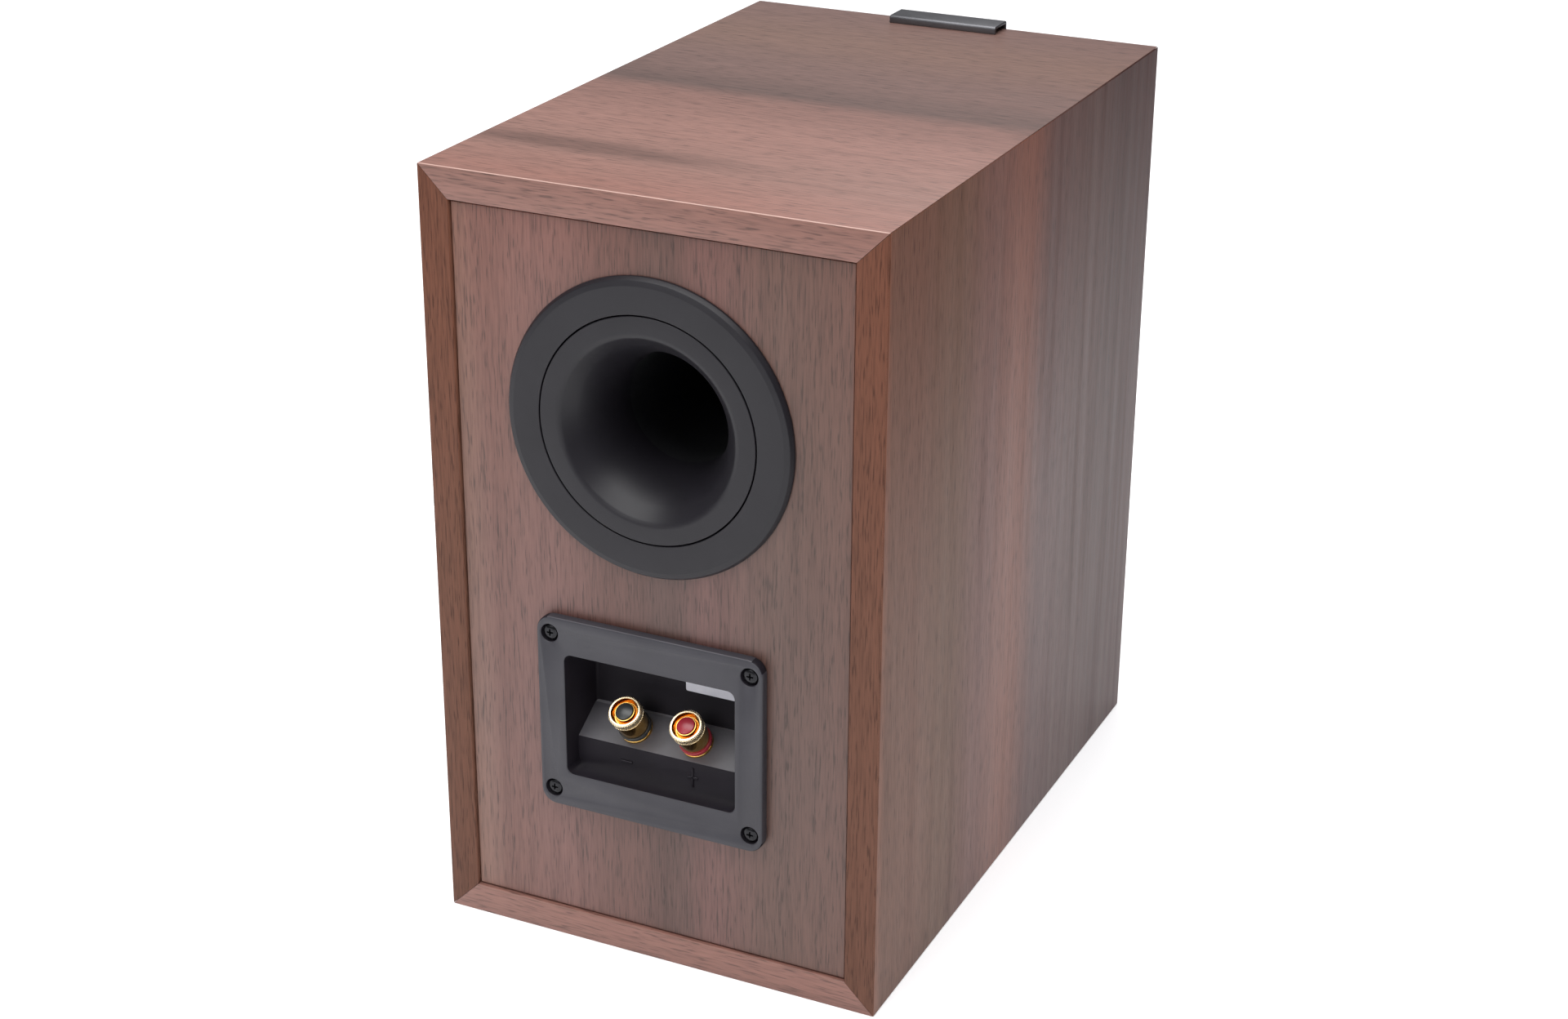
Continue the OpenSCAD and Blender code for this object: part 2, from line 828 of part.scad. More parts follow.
module woofer_surround() {
    base = flange_face;
    roll = arc([roll_mid, base + lip_t / 2], roll_r + lip_t / 2, 175, 5, 16);
    under = arc([roll_mid, base + lip_t / 2], roll_r - lip_t / 2, 5, 175, 16);
    color("black")
        on_front(woofer_z)
            rotate_extrude()
                polygon(concat(
                    [[cone_edge, base], [cone_edge, base + lip_t]],
                    roll,
                    [[woofer_r - 9, base + lip_t], [woofer_r - 9, base], [roll_mid + roll_r, base]],
                    under,
                    [[cone_r, base]]
                ));
}

// Height of the cone's front face at a radius: steep at the neck, flatter at the edge
function cone_z(r) =
    let (u = (r - coil_r) / (cone_edge - coil_r))
    neck_z + cone_depth * (1.3 * u - 0.3 * u * u);

module woofer_cone() {
    steps = 12;
    radii = [for (i = [0:steps]) coil_r + (cone_edge - coil_r) * i / steps];
    color("slategray")
        on_front(woofer_z)
            rotate_extrude()
                polygon(concat(
                    [for (r = radii) [r, cone_z(r)]],
                    [
                        [cone_edge, cone_front],
                        [cone_r, cone_front],
                        [cone_r, cone_front - cone_t]
                    ],
                    [for (r = reversed(radii)) [r, cone_z(r) - cone_t]]
                ));
}

module woofer_dust_cap() {
    foot = cone_z(cap_r) + 0.02;
    r = (cap_r * cap_r + cap_rise * cap_rise) / (2 * cap_rise);
    half = asin(cap_r / r);
    centre = [0, foot + cap_rise - r];
    color("slategray")
        on_front(woofer_z)
            rotate_extrude()
                polygon(concat(
                    arc(centre, r, 90, 90 - half, 10),
                    [[cap_r - 0.5, cone_z(cap_r - 0.5) + 0.02]],
                    arc(centre, r - 0.8, 92 - half, 90, 10)
                ));
}

module woofer_voice_coil()
    color("peru")
        on_front(woofer_z) {
            ring(coil_r - former_t, coil_r, former_end, neck_z + 1);
            ring(coil_r - eps, coil_r + winding_t, former_end, former_end + winding_h);
        }

module woofer_spider() {
    steps = 24;
    inner = coil_r + part_gap;
    outer = magnet_r - 3;
    span = magnet_r - 7 - inner;
    wave = [
        for (i = [0:steps])
            [inner + span * i / steps, landing_z + 0.9 + 0.9 * cos(360 * spider_waves * i / steps + 180)]
    ];
    color("khaki")
        on_front(woofer_z)
            rotate_extrude()
                polygon(concat(
                    wave,
                    [[outer, landing_z], [outer, landing_z + 0.6]],
                    [for (p = reversed(wave)) [p[0], p[1] + 0.6]]
                ));
}

module woofer_top_plate()
    color("silver")
        on_front(woofer_z)
            ring(coil_r + winding_t + coil_gap, magnet_r - 2, magnet_top, plate_top);

module woofer_magnet()
    color("darkslategray")
        on_front(woofer_z)
            ring(coil_r + 5, magnet_r, yoke_top, magnet_top);

module woofer_yoke()
    color("silver")
        on_front(woofer_z)
            difference() {
                union() {
                    disc(magnet_r - 2, yoke_top - plate_t, yoke_top);
                    disc(coil_r - former_t - coil_gap, yoke_top - 1, plate_top);
                }
                disc(5, yoke_top - plate_t - 1, plate_top + 1);
            }

// ---- Tweeter ----

module tweeter_faceplate() {
    // Shallow horn, as a quarter of an ellipse
    horn = [
        for (i = [0:12])
            [
                waveguide_r - (waveguide_r - throat_r) * sin(90 * i / 12),
                -waveguide_depth * (1 - cos(90 * i / 12))
            ]
    ];
    color("black")
        on_front(tweeter_z)
            difference() {
                rotate_extrude()
                    polygon(concat(
                        horn,
                        [
                            [throat_r, faceplate_back],
                            [tweeter_hole_r - 0.5, faceplate_back],
                            [tweeter_hole_r - 0.5, -tweeter_rebate],
                            [tweeter_r, -tweeter_rebate],
                            [tweeter_r, -0.4],
                            [tweeter_r - 0.4, 0]
                        ]
                    ));
                around(4, tweeter_bolt_r) {
                    disc(screw_r + 0.2, -tweeter_rebate - 1, 1);
                    disc(screw_head_r + 0.3, -1.9, 1);
                }
            }
}

module tweeter_screws()
    color("black")
        on_front(tweeter_z)
            around(4, tweeter_bolt_r)
                difference() {
                    union() {
                        disc(screw_head_r, -1.9, -0.3);
                        disc(screw_r, -baffle_t + 1, -1.9 + eps);
                    }
                    translate([0, 0, -1.4])
                        cylinder(r = 1.45, h = 2, $fn = 6);
                }

module tweeter_surround() {
    mid = (dome_r + 0.5 + throat_r) / 2;
    roll = (throat_r - dome_r - 0.5) / 2;
    base = suspension_z;
    color("dimgray")
        on_front(tweeter_z)
            rotate_extrude()
                polygon(concat(
                    [[dome_r + 0.5, base]],
                    arc([mid, base + 0.4], roll, 180, 0, 10),
                    [[throat_r, faceplate_back], [throat_r + 2, faceplate_back], [throat_r + 2, base]]
                ));
}

module tweeter_dome() {
    foot = suspension_z;
    rise = 4.6;
    r = (dome_r * dome_r + rise * rise) / (2 * rise);
    half = asin(dome_r / r);
    centre = [0, foot + 0.4 + rise - r];
    color("darkslategray")
        on_front(tweeter_z) {
            rotate_extrude()
                polygon(concat(
                    arc(centre, r, 90, 90 - half, 12),
                    [[dome_r, foot], [dome_r - 0.8, foot]],
                    arc(centre, r - 0.5, 90 - half + 3, 90, 12)
                ));
            ring(tweeter_former_r - 0.3, tweeter_former_r, foot - 6, foot + eps);
        }
}

module tweeter_pole_tip()
    color("silver")
        on_front(tweeter_z)
            disc(tweeter_former_r - 0.3 - pole_clear, -14, -10.5);

module tweeter_magnet()
    color("gray")
        on_front(tweeter_z)
            disc(tweeter_former_r - 1.3, -20, -14);

module tweeter_cup()
    color("silver")
        on_front(tweeter_z)
            rotate_extrude()
                polygon([
                    [0, -24],
                    [22, -24],
                    [22, faceplate_back],
                    [throat_r + 2, faceplate_back],
                    [throat_r + 2, suspension_z],
                    [tweeter_former_r + pole_clear, suspension_z],
                    [tweeter_former_r + pole_clear, -20],
                    [0, -20]
                ]);

// ---- Wires ----

function unit(v) = v / norm(v);
function heading(p, i) = unit(p[min(i + 1, len(p) - 1)] - p[max(i - 1, 0)]);
// Smooth curve through the route's points, with extra rings between them
function midway(p, i, t) =
    let (
        a = p[max(i - 1, 0)],
        b = p[i],
        c = p[i + 1],
        d = p[min(i + 2, len(p) - 1)]
    )
    0.5 * (2 * b + (c - a) * t + (2 * a - 5 * b + 4 * c - d) * t * t + (3 * b - a - 3 * c + d) * t * t * t);
function smooth(p) = concat([for (i = [0:len(p) - 2], t = [0, 0.5]) midway(p, i, t)], [p[len(p) - 1]]);
// One sideways direction per ring, carried along so that the tube doesn't twist
function sideways(p, last, i = 0) =
    i == len(p) ? [] :
    let (h = heading(p, i), s = unit(last - (last * h) * h))
    concat([s], sideways(p, s, i + 1));

module wire(route, r, sides = 8) {
    path = smooth(route);
    across = sideways(path, [1, 0, 0]);
    points = [
        for (i = [0:len(path) - 1])
            let (h = heading(path, i), s = across[i], u = cross(h, s))
            for (k = [0:sides - 1])
                path[i] + r * (cos(360 * k / sides) * s + sin(360 * k / sides) * u)
    ];
    last = (len(path) - 1) * sides;
    polyhedron(
        points,
        concat(
            [[for (k = [0:sides - 1]) k]],
            [for (i = [0:len(path) - 2], k = [0:sides - 1])
                let (a = i * sides + k, b = i * sides + (k + 1) % sides)
                [a, a + sides, b + sides, b]],
            [[for (k = [sides - 1:-1:0]) last + k]]
        )
    );
}

module input_wires() color("crimson") for (route = input_routes) wire(route, wire_r);
module woofer_wires() color("crimson") for (route = woofer_routes) wire(route, wire_r);
module tweeter_wires() color("crimson") for (route = tweeter_routes) wire(route, wire_r);

side_panel_left();
side_panel_right();
top_panel();
bottom_panel();
front_baffle();
rear_panel();
window_brace();
side_linings();
top_lining();
trim_clip();
port_flange();
port_flare();
port_tube();
port_inner_flare();
terminal_cup();
terminal_gasket();
terminal_screws();
rating_label();
positive_stud();
positive_clamp_ring();
positive_knob();
positive_plug();
positive_tag();
positive_washer();
positive_nut();
negative_stud();
negative_clamp_ring();
negative_knob();
negative_plug();
negative_tag();
negative_washer();
negative_nut();
crossover_board();
crossover_supports();
woofer_inductor();
tweeter_inductor();
capacitors();
resistors();
woofer_trim_ring();
woofer_gasket();
woofer_basket();
woofer_screws();
woofer_surround();
woofer_cone();
woofer_dust_cap();
woofer_voice_coil();
woofer_spider();
woofer_top_plate();
woofer_magnet();
woofer_yoke();
tweeter_faceplate();
tweeter_screws();
tweeter_surround();
tweeter_dome();
tweeter_pole_tip();
tweeter_magnet();
tweeter_cup();
input_wires();
woofer_wires();
tweeter_wires();
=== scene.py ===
import json
import math
import bmesh
import bpy
from mathutils import Euler, Matrix, Vector


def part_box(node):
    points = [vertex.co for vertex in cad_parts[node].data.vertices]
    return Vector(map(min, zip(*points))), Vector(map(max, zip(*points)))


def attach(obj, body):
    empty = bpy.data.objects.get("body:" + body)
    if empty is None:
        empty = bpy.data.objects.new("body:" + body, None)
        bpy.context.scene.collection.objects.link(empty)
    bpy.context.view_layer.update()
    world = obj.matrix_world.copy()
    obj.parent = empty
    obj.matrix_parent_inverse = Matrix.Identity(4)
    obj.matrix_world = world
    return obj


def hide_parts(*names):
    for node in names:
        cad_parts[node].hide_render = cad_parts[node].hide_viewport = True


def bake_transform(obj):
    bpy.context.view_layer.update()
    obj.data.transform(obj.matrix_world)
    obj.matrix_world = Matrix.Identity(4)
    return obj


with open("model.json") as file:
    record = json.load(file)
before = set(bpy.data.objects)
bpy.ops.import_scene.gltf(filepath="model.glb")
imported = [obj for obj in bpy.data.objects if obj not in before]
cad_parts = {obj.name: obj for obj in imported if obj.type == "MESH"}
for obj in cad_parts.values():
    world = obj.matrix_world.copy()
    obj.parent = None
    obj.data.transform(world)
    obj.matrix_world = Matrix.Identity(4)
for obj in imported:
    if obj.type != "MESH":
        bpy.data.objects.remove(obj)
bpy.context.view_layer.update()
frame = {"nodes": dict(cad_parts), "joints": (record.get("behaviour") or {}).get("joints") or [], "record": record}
nodes = frame["nodes"]
joints = {joint["name"]: joint for joint in frame["joints"]}
mm = 0.001  # every size below is in millimetres, every mesh in metres


# ---- small helpers ----

def toLinear(hexColour):
    channels = [int(hexColour[i:i + 2], 16) / 255 for i in (1, 3, 5)]
    return [c / 12.92 if c <= 0.04045 else ((c + 0.055) / 1.055) ** 2.4 for c in channels] + [1.0]


def addNode(tree, kind, values=None, links=None, **settings):
    node = tree.nodes.new(kind)
    for key, value in settings.items():
        setattr(node, key, value)
    for key, value in (values or {}).items():
        node.inputs[key].default_value = value
    for key, socket in (links or {}).items():
        tree.links.new(socket, node.inputs[key])
    return node


def setRamp(node, stops, interpolation="LINEAR"):
    ramp = node.color_ramp
    ramp.interpolation = interpolation
    while len(ramp.elements) < len(stops):
        ramp.elements.new(0.5)
    for element, (position, colour) in zip(ramp.elements, stops):
        element.position = position
        element.color = toLinear(colour) if isinstance(colour, str) else [colour] * 3 + [1.0]
    return node.outputs["Color"]


def newMaterial(name, **sockets):
    material = bpy.data.materials.new(name)
    material.use_nodes = True
    tree = material.node_tree
    shader = tree.nodes["Principled BSDF"]
    for key, value in sockets.items():
        shader.inputs[key.replace("_", " ")].default_value = value
    return material, tree, shader


def noiseOf(tree, where, size, detail, **more):
    values = {"Scale": 1000 / size, "Detail": detail, **more}  # size is in millimetres
    return addNode(tree, "ShaderNodeTexNoise", values, {"Vector": where}).outputs["Fac"]


def ranged(tree, value, **ends):
    values = {key.replace("_", " "): end for key, end in ends.items()}
    return addNode(tree, "ShaderNodeMapRange", values, {"Value": value}).outputs["Result"]


def multiplied(tree, one, other):
    node = addNode(tree, "ShaderNodeMath", links={0: one, 1: other}, operation="MULTIPLY")
    return node.outputs["Value"]


def rampOf(tree, factor, stops, interpolation="LINEAR"):
    return setRamp(addNode(tree, "ShaderNodeValToRGB", links={"Fac": factor}), stops, interpolation)


def tinted(tree, colour, tone):
    mixed = addNode(tree, "ShaderNodeMix", {0: 1.0}, {6: colour, 7: tone}, data_type="RGBA",
                    blend_type="MULTIPLY")
    return mixed.outputs[2]


def addBump(tree, shader, height, strength, depth):
    bump = addNode(tree, "ShaderNodeBump", {"Strength": strength, "Distance": depth * mm},
                   {"Height": height})
    tree.links.new(bump.outputs["Normal"], shader.inputs["Normal"])


def boxOf(*names):
    boxes = [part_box(name) for name in names]
    low = [min(b[0][i] for b in boxes) / mm for i in range(3)]
    high = [max(b[1][i] for b in boxes) / mm for i in range(3)]
    return Vector(low), Vector(high)


def meshObject(name, points, faces):
    mesh = bpy.data.meshes.new(name)
    mesh.from_pydata([Vector(p) * mm for p in points], [], faces)
    work = bmesh.new()
    work.from_mesh(mesh)
    bmesh.ops.remove_doubles(work, verts=work.verts, dist=0.002 * mm)
    bmesh.ops.recalc_face_normals(work, faces=work.faces)
    work.to_mesh(mesh)
    work.free()
    piece = bpy.data.objects.new(name, mesh)
    bpy.context.scene.collection.objects.link(piece)
    return piece


def smoothShade(piece, degrees=32):
    piece.data.shade_smooth()
    piece.data.set_sharp_from_angle(angle=math.radians(degrees))


def finishPiece(piece, body, material, slot, *replaced, sharp=32):
    smoothShade(piece, sharp)
    piece.data.materials.clear()
    piece.data.materials.append(material)
    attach(piece, body)
    if replaced:
        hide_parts(*replaced)
    return piece


def joined(name, pieces):
    work = bmesh.new()
    for piece in pieces:
        work.from_mesh(piece.data)
    mesh = bpy.data.meshes.new(name)
    work.to_mesh(mesh)
    work.free()
    for piece in pieces:
        bpy.data.objects.remove(piece)
    whole = bpy.data.objects.new(name, mesh)
    bpy.context.scene.collection.objects.link(whole)
    return whole


def applied(piece):
    graph = bpy.context.evaluated_depsgraph_get()
    mesh = bpy.data.meshes.new_from_object(piece.evaluated_get(graph))
    piece.modifiers.clear()
    piece.data = mesh
    return piece


def cutBy(piece, cutters):
    for cutter in cutters:
        modifier = piece.modifiers.new("cut", "BOOLEAN")
        modifier.operation = "DIFFERENCE"
        modifier.solver = "EXACT"
        modifier.object = cutter
    applied(piece)
    for cutter in cutters:
        bpy.data.objects.remove(cutter)
    return piece


def softenEdges(piece, width, steps, degrees):
    bevel = piece.modifiers.new("edges", "BEVEL")
    bevel.width = width * mm
    bevel.segments = steps
    bevel.limit_method = "ANGLE"
    bevel.angle_limit = math.radians(degrees)
    bevel.use_clamp_overlap = False
    bevel.harden_normals = True
    return piece


# corners are (x, y, radius); a radius above 0 becomes an arc
def rounded(corners, steps=6):
    outline = []
    for i, (x, y, radius) in enumerate(corners):
        here = Vector((x, y))
        if radius == 0:
            outline.append(here)
            continue
        before = (Vector(corners[i - 1][:2]) - here).normalized()
        after = (Vector(corners[(i + 1) % len(corners)][:2]) - here).normalized()
        half = before.angle(after) / 2
        reach = radius / math.tan(half)
        centre = here + (before + after).normalized() * radius / math.sin(half)
        start = here + before * reach - centre
        end = here + after * reach - centre
        first = math.atan2(start.y, start.x)
        swing = math.atan2(end.y, end.x) - first
        swing = (swing + math.pi) % (2 * math.pi) - math.pi
        for k in range(steps + 1):
            a = first + swing * k / steps
            outline.append(centre + radius * Vector((math.cos(a), math.sin(a))))
    return outline


def arcPoints(centre, radius, start, end, steps):
    angles = [math.radians(start + (end - start) * i / steps) for i in range(steps + 1)]
    return [Vector((centre[0] + radius * math.cos(a), centre[1] + radius * math.sin(a))) for a in angles]


def turnTo(axis):
    return Vector((0, 0, 1)).rotation_difference(Vector(axis)).to_matrix().to_4x4()


# profile is (radius, height) along the axis; ribs are straight knurling between two heights
def lathe(name, profile, centre, axis, count=128, ribs=None):
    place = Matrix.Translation(Vector(centre)) @ turnTo(axis)
    points, rings = [], []
    for r, h in profile:
        if r == 0:  # on the axis: one shared point
            rings.append([len(points)] * count)
            points.append(place @ Vector((0, 0, h)))
            continue
        rings.append(range(len(points), len(points) + count))
        ribbed = ribs and ribs["low"] <= h <= ribs["high"] and r >= ribs["inside"]
        for i in range(count):
            a = 2 * math.pi * i / count
            cut = ribs["depth"] * (0.5 - 0.5 * math.cos(ribs["count"] * a)) if ribbed else 0
            points.append(place @ Vector(((r - cut) * math.cos(a), (r - cut) * math.sin(a), h)))
    faces = []
    for here, there in zip(rings, rings[1:] + rings[:1]):
        for i in range(count):
            k = (i + 1) % count
            corners = dict.fromkeys((here[i], there[i], there[k], here[k]))
            if len(corners) > 2:
                faces.append(tuple(corners))
    return meshObject(name, points, faces)


# end caps, then the sides between rings of the same size
def ringFaces(size, count):
    faces = [tuple(range(size)), tuple(range((count - 1) * size, count * size))]
    for i in range(count - 1):
        for j in range(size):
            k = (j + 1) % size
            faces.append((i * size + j, i * size + k, (i + 1) * size + k, (i + 1) * size + j))
    return faces


# outline in two axes, pushed along the third; ends are rounded by the given radius
def prism(name, outline, start, end, place, endRadius=0.0, steps=3, weights=None):
    size = len(outline)
    levels = [(start, endRadius)] if endRadius else [(start, 0)]
    if endRadius:
        for k in range(steps + 1):
            a = math.pi / 2 * k / steps
            levels.append((start + endRadius * (1 - math.sin(a)), endRadius * (1 - math.cos(a))))
        levels = levels[1:][::-1]
        levels += [(start + end - y, inset) for y, inset in reversed(levels)]
    else:
        levels.append((end, 0))
    points = []
    for y, inset in levels:
        for p in insetOutline(outline, [inset * w for w in weights] if weights else inset):
            points.append(place(p, y))
    return meshObject(name, points, ringFaces(size, len(levels)))


# moves each side of an outline inwards by its own amount
def insetOutline(outline, amount):
    size = len(outline)
    amounts = amount if isinstance(amount, (list, tuple)) else [amount] * size
    area = sum(outline[i][0] * outline[(i + 1) % size][1] - outline[(i + 1) % size][0] * outline[i][1]
               for i in range(size))
    sign = 1 if area > 0 else -1
    lines = []
    for i in range(size):
        a, b = Vector(outline[i]), Vector(outline[(i + 1) % size])
        along = (b - a).normalized()
        inward = Vector((-along.y, along.x)) * sign
        lines.append((a + inward * amounts[i], along))
    result = []
    for i in range(size):
        (p, u), (q, v) = lines[i - 1], lines[i]
        cross = u.x * v.y - u.y * v.x
        if abs(cross) < 1e-6:
            result.append(q)
        else:
            t = ((q - p).x * v.y - (q - p).y * v.x) / cross
            result.append(p + u * t)
    return result


# ---- camera and light ----

cameraValues = {
    "place": (-416.55, 909.70, 571.59),  # above and behind the cabinet, on its right
    "turn": (66.286, -0.331, 205.376),
    "lens": 62.387,
    "sensor": 36.0,
}
cameraData = bpy.data.cameras.new("camera")
cameraData.lens = cameraValues["lens"]
cameraData.sensor_width = cameraValues["sensor"]
cameraData.clip_start = 0.01
camera = bpy.data.objects.new("camera", cameraData)
camera.location = Vector(cameraValues["place"]) * mm
camera.rotation_euler = Euler([math.radians(a) for a in cameraValues["turn"]])
bpy.context.scene.collection.objects.link(camera)
bpy.context.scene.camera = camera

studio = {
    "worldColour": "#f8f9ff",
    "worldStrength": 0.22,
    "boxes": [  # place, target, size, watts
        ((0, 450, 2400), (0, 0, 0), (2600, 2600), 94.0),
        ((500, 1900, 1100), (0, 0, 150), (1000, 1000), 8.0),
        ((300, -1900, 2100), (0, 0, 150), (1200, 900), 11.0),
    ],
}
world = bpy.data.worlds.new("studio")
world.use_nodes = True
background = world.node_tree.nodes["Background"]
background.inputs["Color"].default_value = toLinear(studio["worldColour"])
background.inputs["Strength"].default_value = studio["worldStrength"]
bpy.context.scene.world = world
bpy.context.scene.view_settings.view_transform = "Standard"
for i, (place, target, size, watts) in enumerate(studio["boxes"]):
    lightData = bpy.data.lights.new(f"softbox{i}", "AREA")
    lightData.shape = "RECTANGLE"
    lightData.size, lightData.size_y = size[0] * mm, size[1] * mm
    lightData.energy = watts
    light = bpy.data.objects.new(f"softbox{i}", lightData)
    light.location = Vector(place) * mm
    light.rotation_euler = (Vector(target) - Vector(place)).to_track_quat("-Z", "Y").to_euler()
    bpy.context.scene.collection.objects.link(light)

# painted shade: the paper is painted darker past one side of the view, so the upper part of that side reflects
# dark
floorValues = {
    "size": 12000, "colour": "#f4f4f5", "shade": "#7c7c7f", "glow": 0.3, "outward": (-0.983, -0.183, 0),
    "fade": (315, 700), "fibre": 2.5, "light": "#ffffff", "fibreTones": [(0.3, "#fdfdfd"), (0.7, "#ffffff")],
}
floorReach = floorValues["size"] / 2
floorCorners = [(x * floorReach, y * floorReach, 0) for x, y in ((-1, -1), (1, -1), (1, 1), (-1, 1))]
floor = meshObject("floor", floorCorners, [(0, 1, 2, 3)])
floorPaper, floorTree, floorShader = newMaterial("studioPaper", Roughness=0.9)
floorShader.inputs["Emission Color"].default_value = toLinear(floorValues["light"])  # backlit paper sweep
floorPlace = addNode(floorTree, "ShaderNodeTexCoord").outputs["Object"]
sideways = addNode(floorTree, "ShaderNodeVectorMath", {1: floorValues["outward"]}, {0: floorPlace},
                   operation="DOT_PRODUCT")
fadeStart, fadeEnd = floorValues["fade"]
fade = ranged(floorTree, sideways.outputs["Value"], From_Min=fadeStart * mm, From_Max=fadeEnd * mm)
paperToneAndPaintedShade = rampOf(floorTree, fade, [(0.0, floorValues["colour"]), (1.0, floorValues["shade"])], "EASE")
# the paper's glow fades out where the shade is painted
glow = ranged(floorTree, fade, To_Min=floorValues["glow"], To_Max=0.0)
floorTree.links.new(glow, floorShader.inputs["Emission Strength"])
floorFibre = noiseOf(floorTree, floorPlace, floorValues["fibre"], 3.0)
floorGrain = rampOf(floorTree, floorFibre, floorValues["fibreTones"])
floorTree.links.new(tinted(floorTree, floorGrain, paperToneAndPaintedShade), floorShader.inputs["Base Color"])
floor.data.materials.append(floorPaper)
print("camera, light and floor are set")


# ---- materials ----

# Walnut-grain vinyl foil, printed and embossed: broad tone bands, fine streaks and short dark
# pores that run along the grain, under a satin film that picks up the room at low angles
def walnutVinyl(name, along, values):
    material, tree, shader = newMaterial(name, IOR=1.5, Specular_IOR_Level=values["specular"])
    where = addNode(tree, "ShaderNodeTexCoord").outputs["Object"]

    def grainNoise(width, stretch, detail, roughness, shift=0.0):
        scale = {"X": (stretch, 1, 1), "Z": (1, 1, stretch)}[along]
        stretched = addNode(tree, "ShaderNodeMapping", {"Scale": scale, "Location": (shift, shift, shift)},
                            {"Vector": where})
        return noiseOf(tree, stretched.outputs["Vector"], width, detail, Roughness=roughness)

    # tone bands lie across the grain, at chosen places, with wandering soft edges
    axes = addNode(tree, "ShaderNodeSeparateXYZ", {}, {"Vector": where})
    wander = grainNoise(values["wanderWidth"], 0.12, 2.0, 0.5, 0.4)
    drift = ranged(tree, wander, To_Min=-values["wander"] * mm, To_Max=values["wander"] * mm)
    drifted = addNode(tree, "ShaderNodeMath", links={0: axes.outputs[values["across"]], 1: drift},
                      operation="ADD")
    halfSpan = values["span"] / 2 * mm
    place = ranged(tree, drifted.outputs["Value"], From_Min=-halfSpan, From_Max=halfSpan)
    colour = rampOf(tree, place, values["bands"], "EASE")
    # the tone also drifts along the grain; on the sides this drift is a painted reflection, greyer towards the
    # bottom
    start, end = values["ends"]
    lengthwise = ranged(tree, axes.outputs[along], From_Min=start * mm, From_Max=end * mm)
    colour = tinted(tree, colour, rampOf(tree, lengthwise, values["drift"]))
    streakNoise = grainNoise(values["streakWidth"], values["streakStretch"], 6.0, 0.6)
    colour = tinted(tree, colour, rampOf(tree, streakNoise, values["streaks"]))
    fibreNoise = grainNoise(values["fibreWidth"], values["fibreStretch"], 3.0, 0.6, 0.7)
    fibreTone = rampOf(tree, fibreNoise, values["fibres"])
    colour = tinted(tree, colour, fibreTone)
    poreNoise = grainNoise(values["poreWidth"], values["poreStretch"], 1.0, 0.5, 0.2)
    poreTone = rampOf(tree, poreNoise, values["pores"])
    colour = tinted(tree, colour, poreTone)
    if "smudge" in values:
        smudge = values["smudge"]
        spot = addNode(tree, "ShaderNodeMapping", {"Location": smudge["place"], "Scale": smudge["scale"]},
                       {"Vector": where}, vector_type="POINT")
        ball = addNode(tree, "ShaderNodeTexGradient", {}, {"Vector": spot.outputs["Vector"]},
                       gradient_type="SPHERICAL")
        broken = multiplied(tree, ball.outputs["Fac"], streakNoise)
        colour = tinted(tree, colour, rampOf(tree, broken, smudge["stops"]))
    if "strip" in values:  # the end band behind the mitre
        strip = values["strip"]
        onStrip = ranged(tree, axes.outputs["Y"], From_Min=strip["Y"] * mm,
                         From_Max=(strip["Y"] + strip["soft"]) * mm)
        colour = tinted(tree, colour, rampOf(tree, onStrip, [(0.0, 1.0), (1.0, strip["colour"])]))
    if "paintedArrisHighlight" in values:  # painted highlight: the rear top edge is painted lighter, where it catches the overhead light
        paintedArrisHighlight = values["paintedArrisHighlight"]
        behind, above = [ranged(tree, axes.outputs[side], From_Min=paintedArrisHighlight[side] * mm,
                                From_Max=(paintedArrisHighlight[side] + paintedArrisHighlight["soft"]) * mm) for side in ("Y", "Z")]
        lighter = addNode(tree, "ShaderNodeMix", {7: toLinear(paintedArrisHighlight["colour"])},
                          {0: multiplied(tree, behind, above), 6: colour}, data_type="RGBA")
        colour = lighter.outputs[2]
    tree.links.new(colour, shader.inputs["Base Color"])
    gloss = ranged(tree, streakNoise, From_Min=0.3, From_Max=0.7, To_Min=values["rough"] + 0.07,
                   To_Max=values["rough"] - 0.04)
    tree.links.new(gloss, shader.inputs["Roughness"])
    addBump(tree, shader, multiplied(tree, poreTone, fibreTone), values["emboss"], values["embossDepth"])
    return material


vinylValues = {
    "rough": 0.4, "specular": 0.5, "wander": 9.0, "wanderWidth": 60.0, "emboss": 0.35, "embossDepth": 0.05,
    "streakWidth": 7.0, "streakStretch": 0.03, "streaks": [(0.3, 0.84), (0.45, 0.95), (0.7, 1.0)],
    "fibreWidth": 0.8, "fibreStretch": 0.05, "fibres": [(0.3, 0.68), (0.5, 0.92), (0.7, 1.0)],
    "poreWidth": 0.55, "poreStretch": 0.07, "pores": [(0.3, 0.52), (0.4, 0.9), (0.6, 1.0)],
}
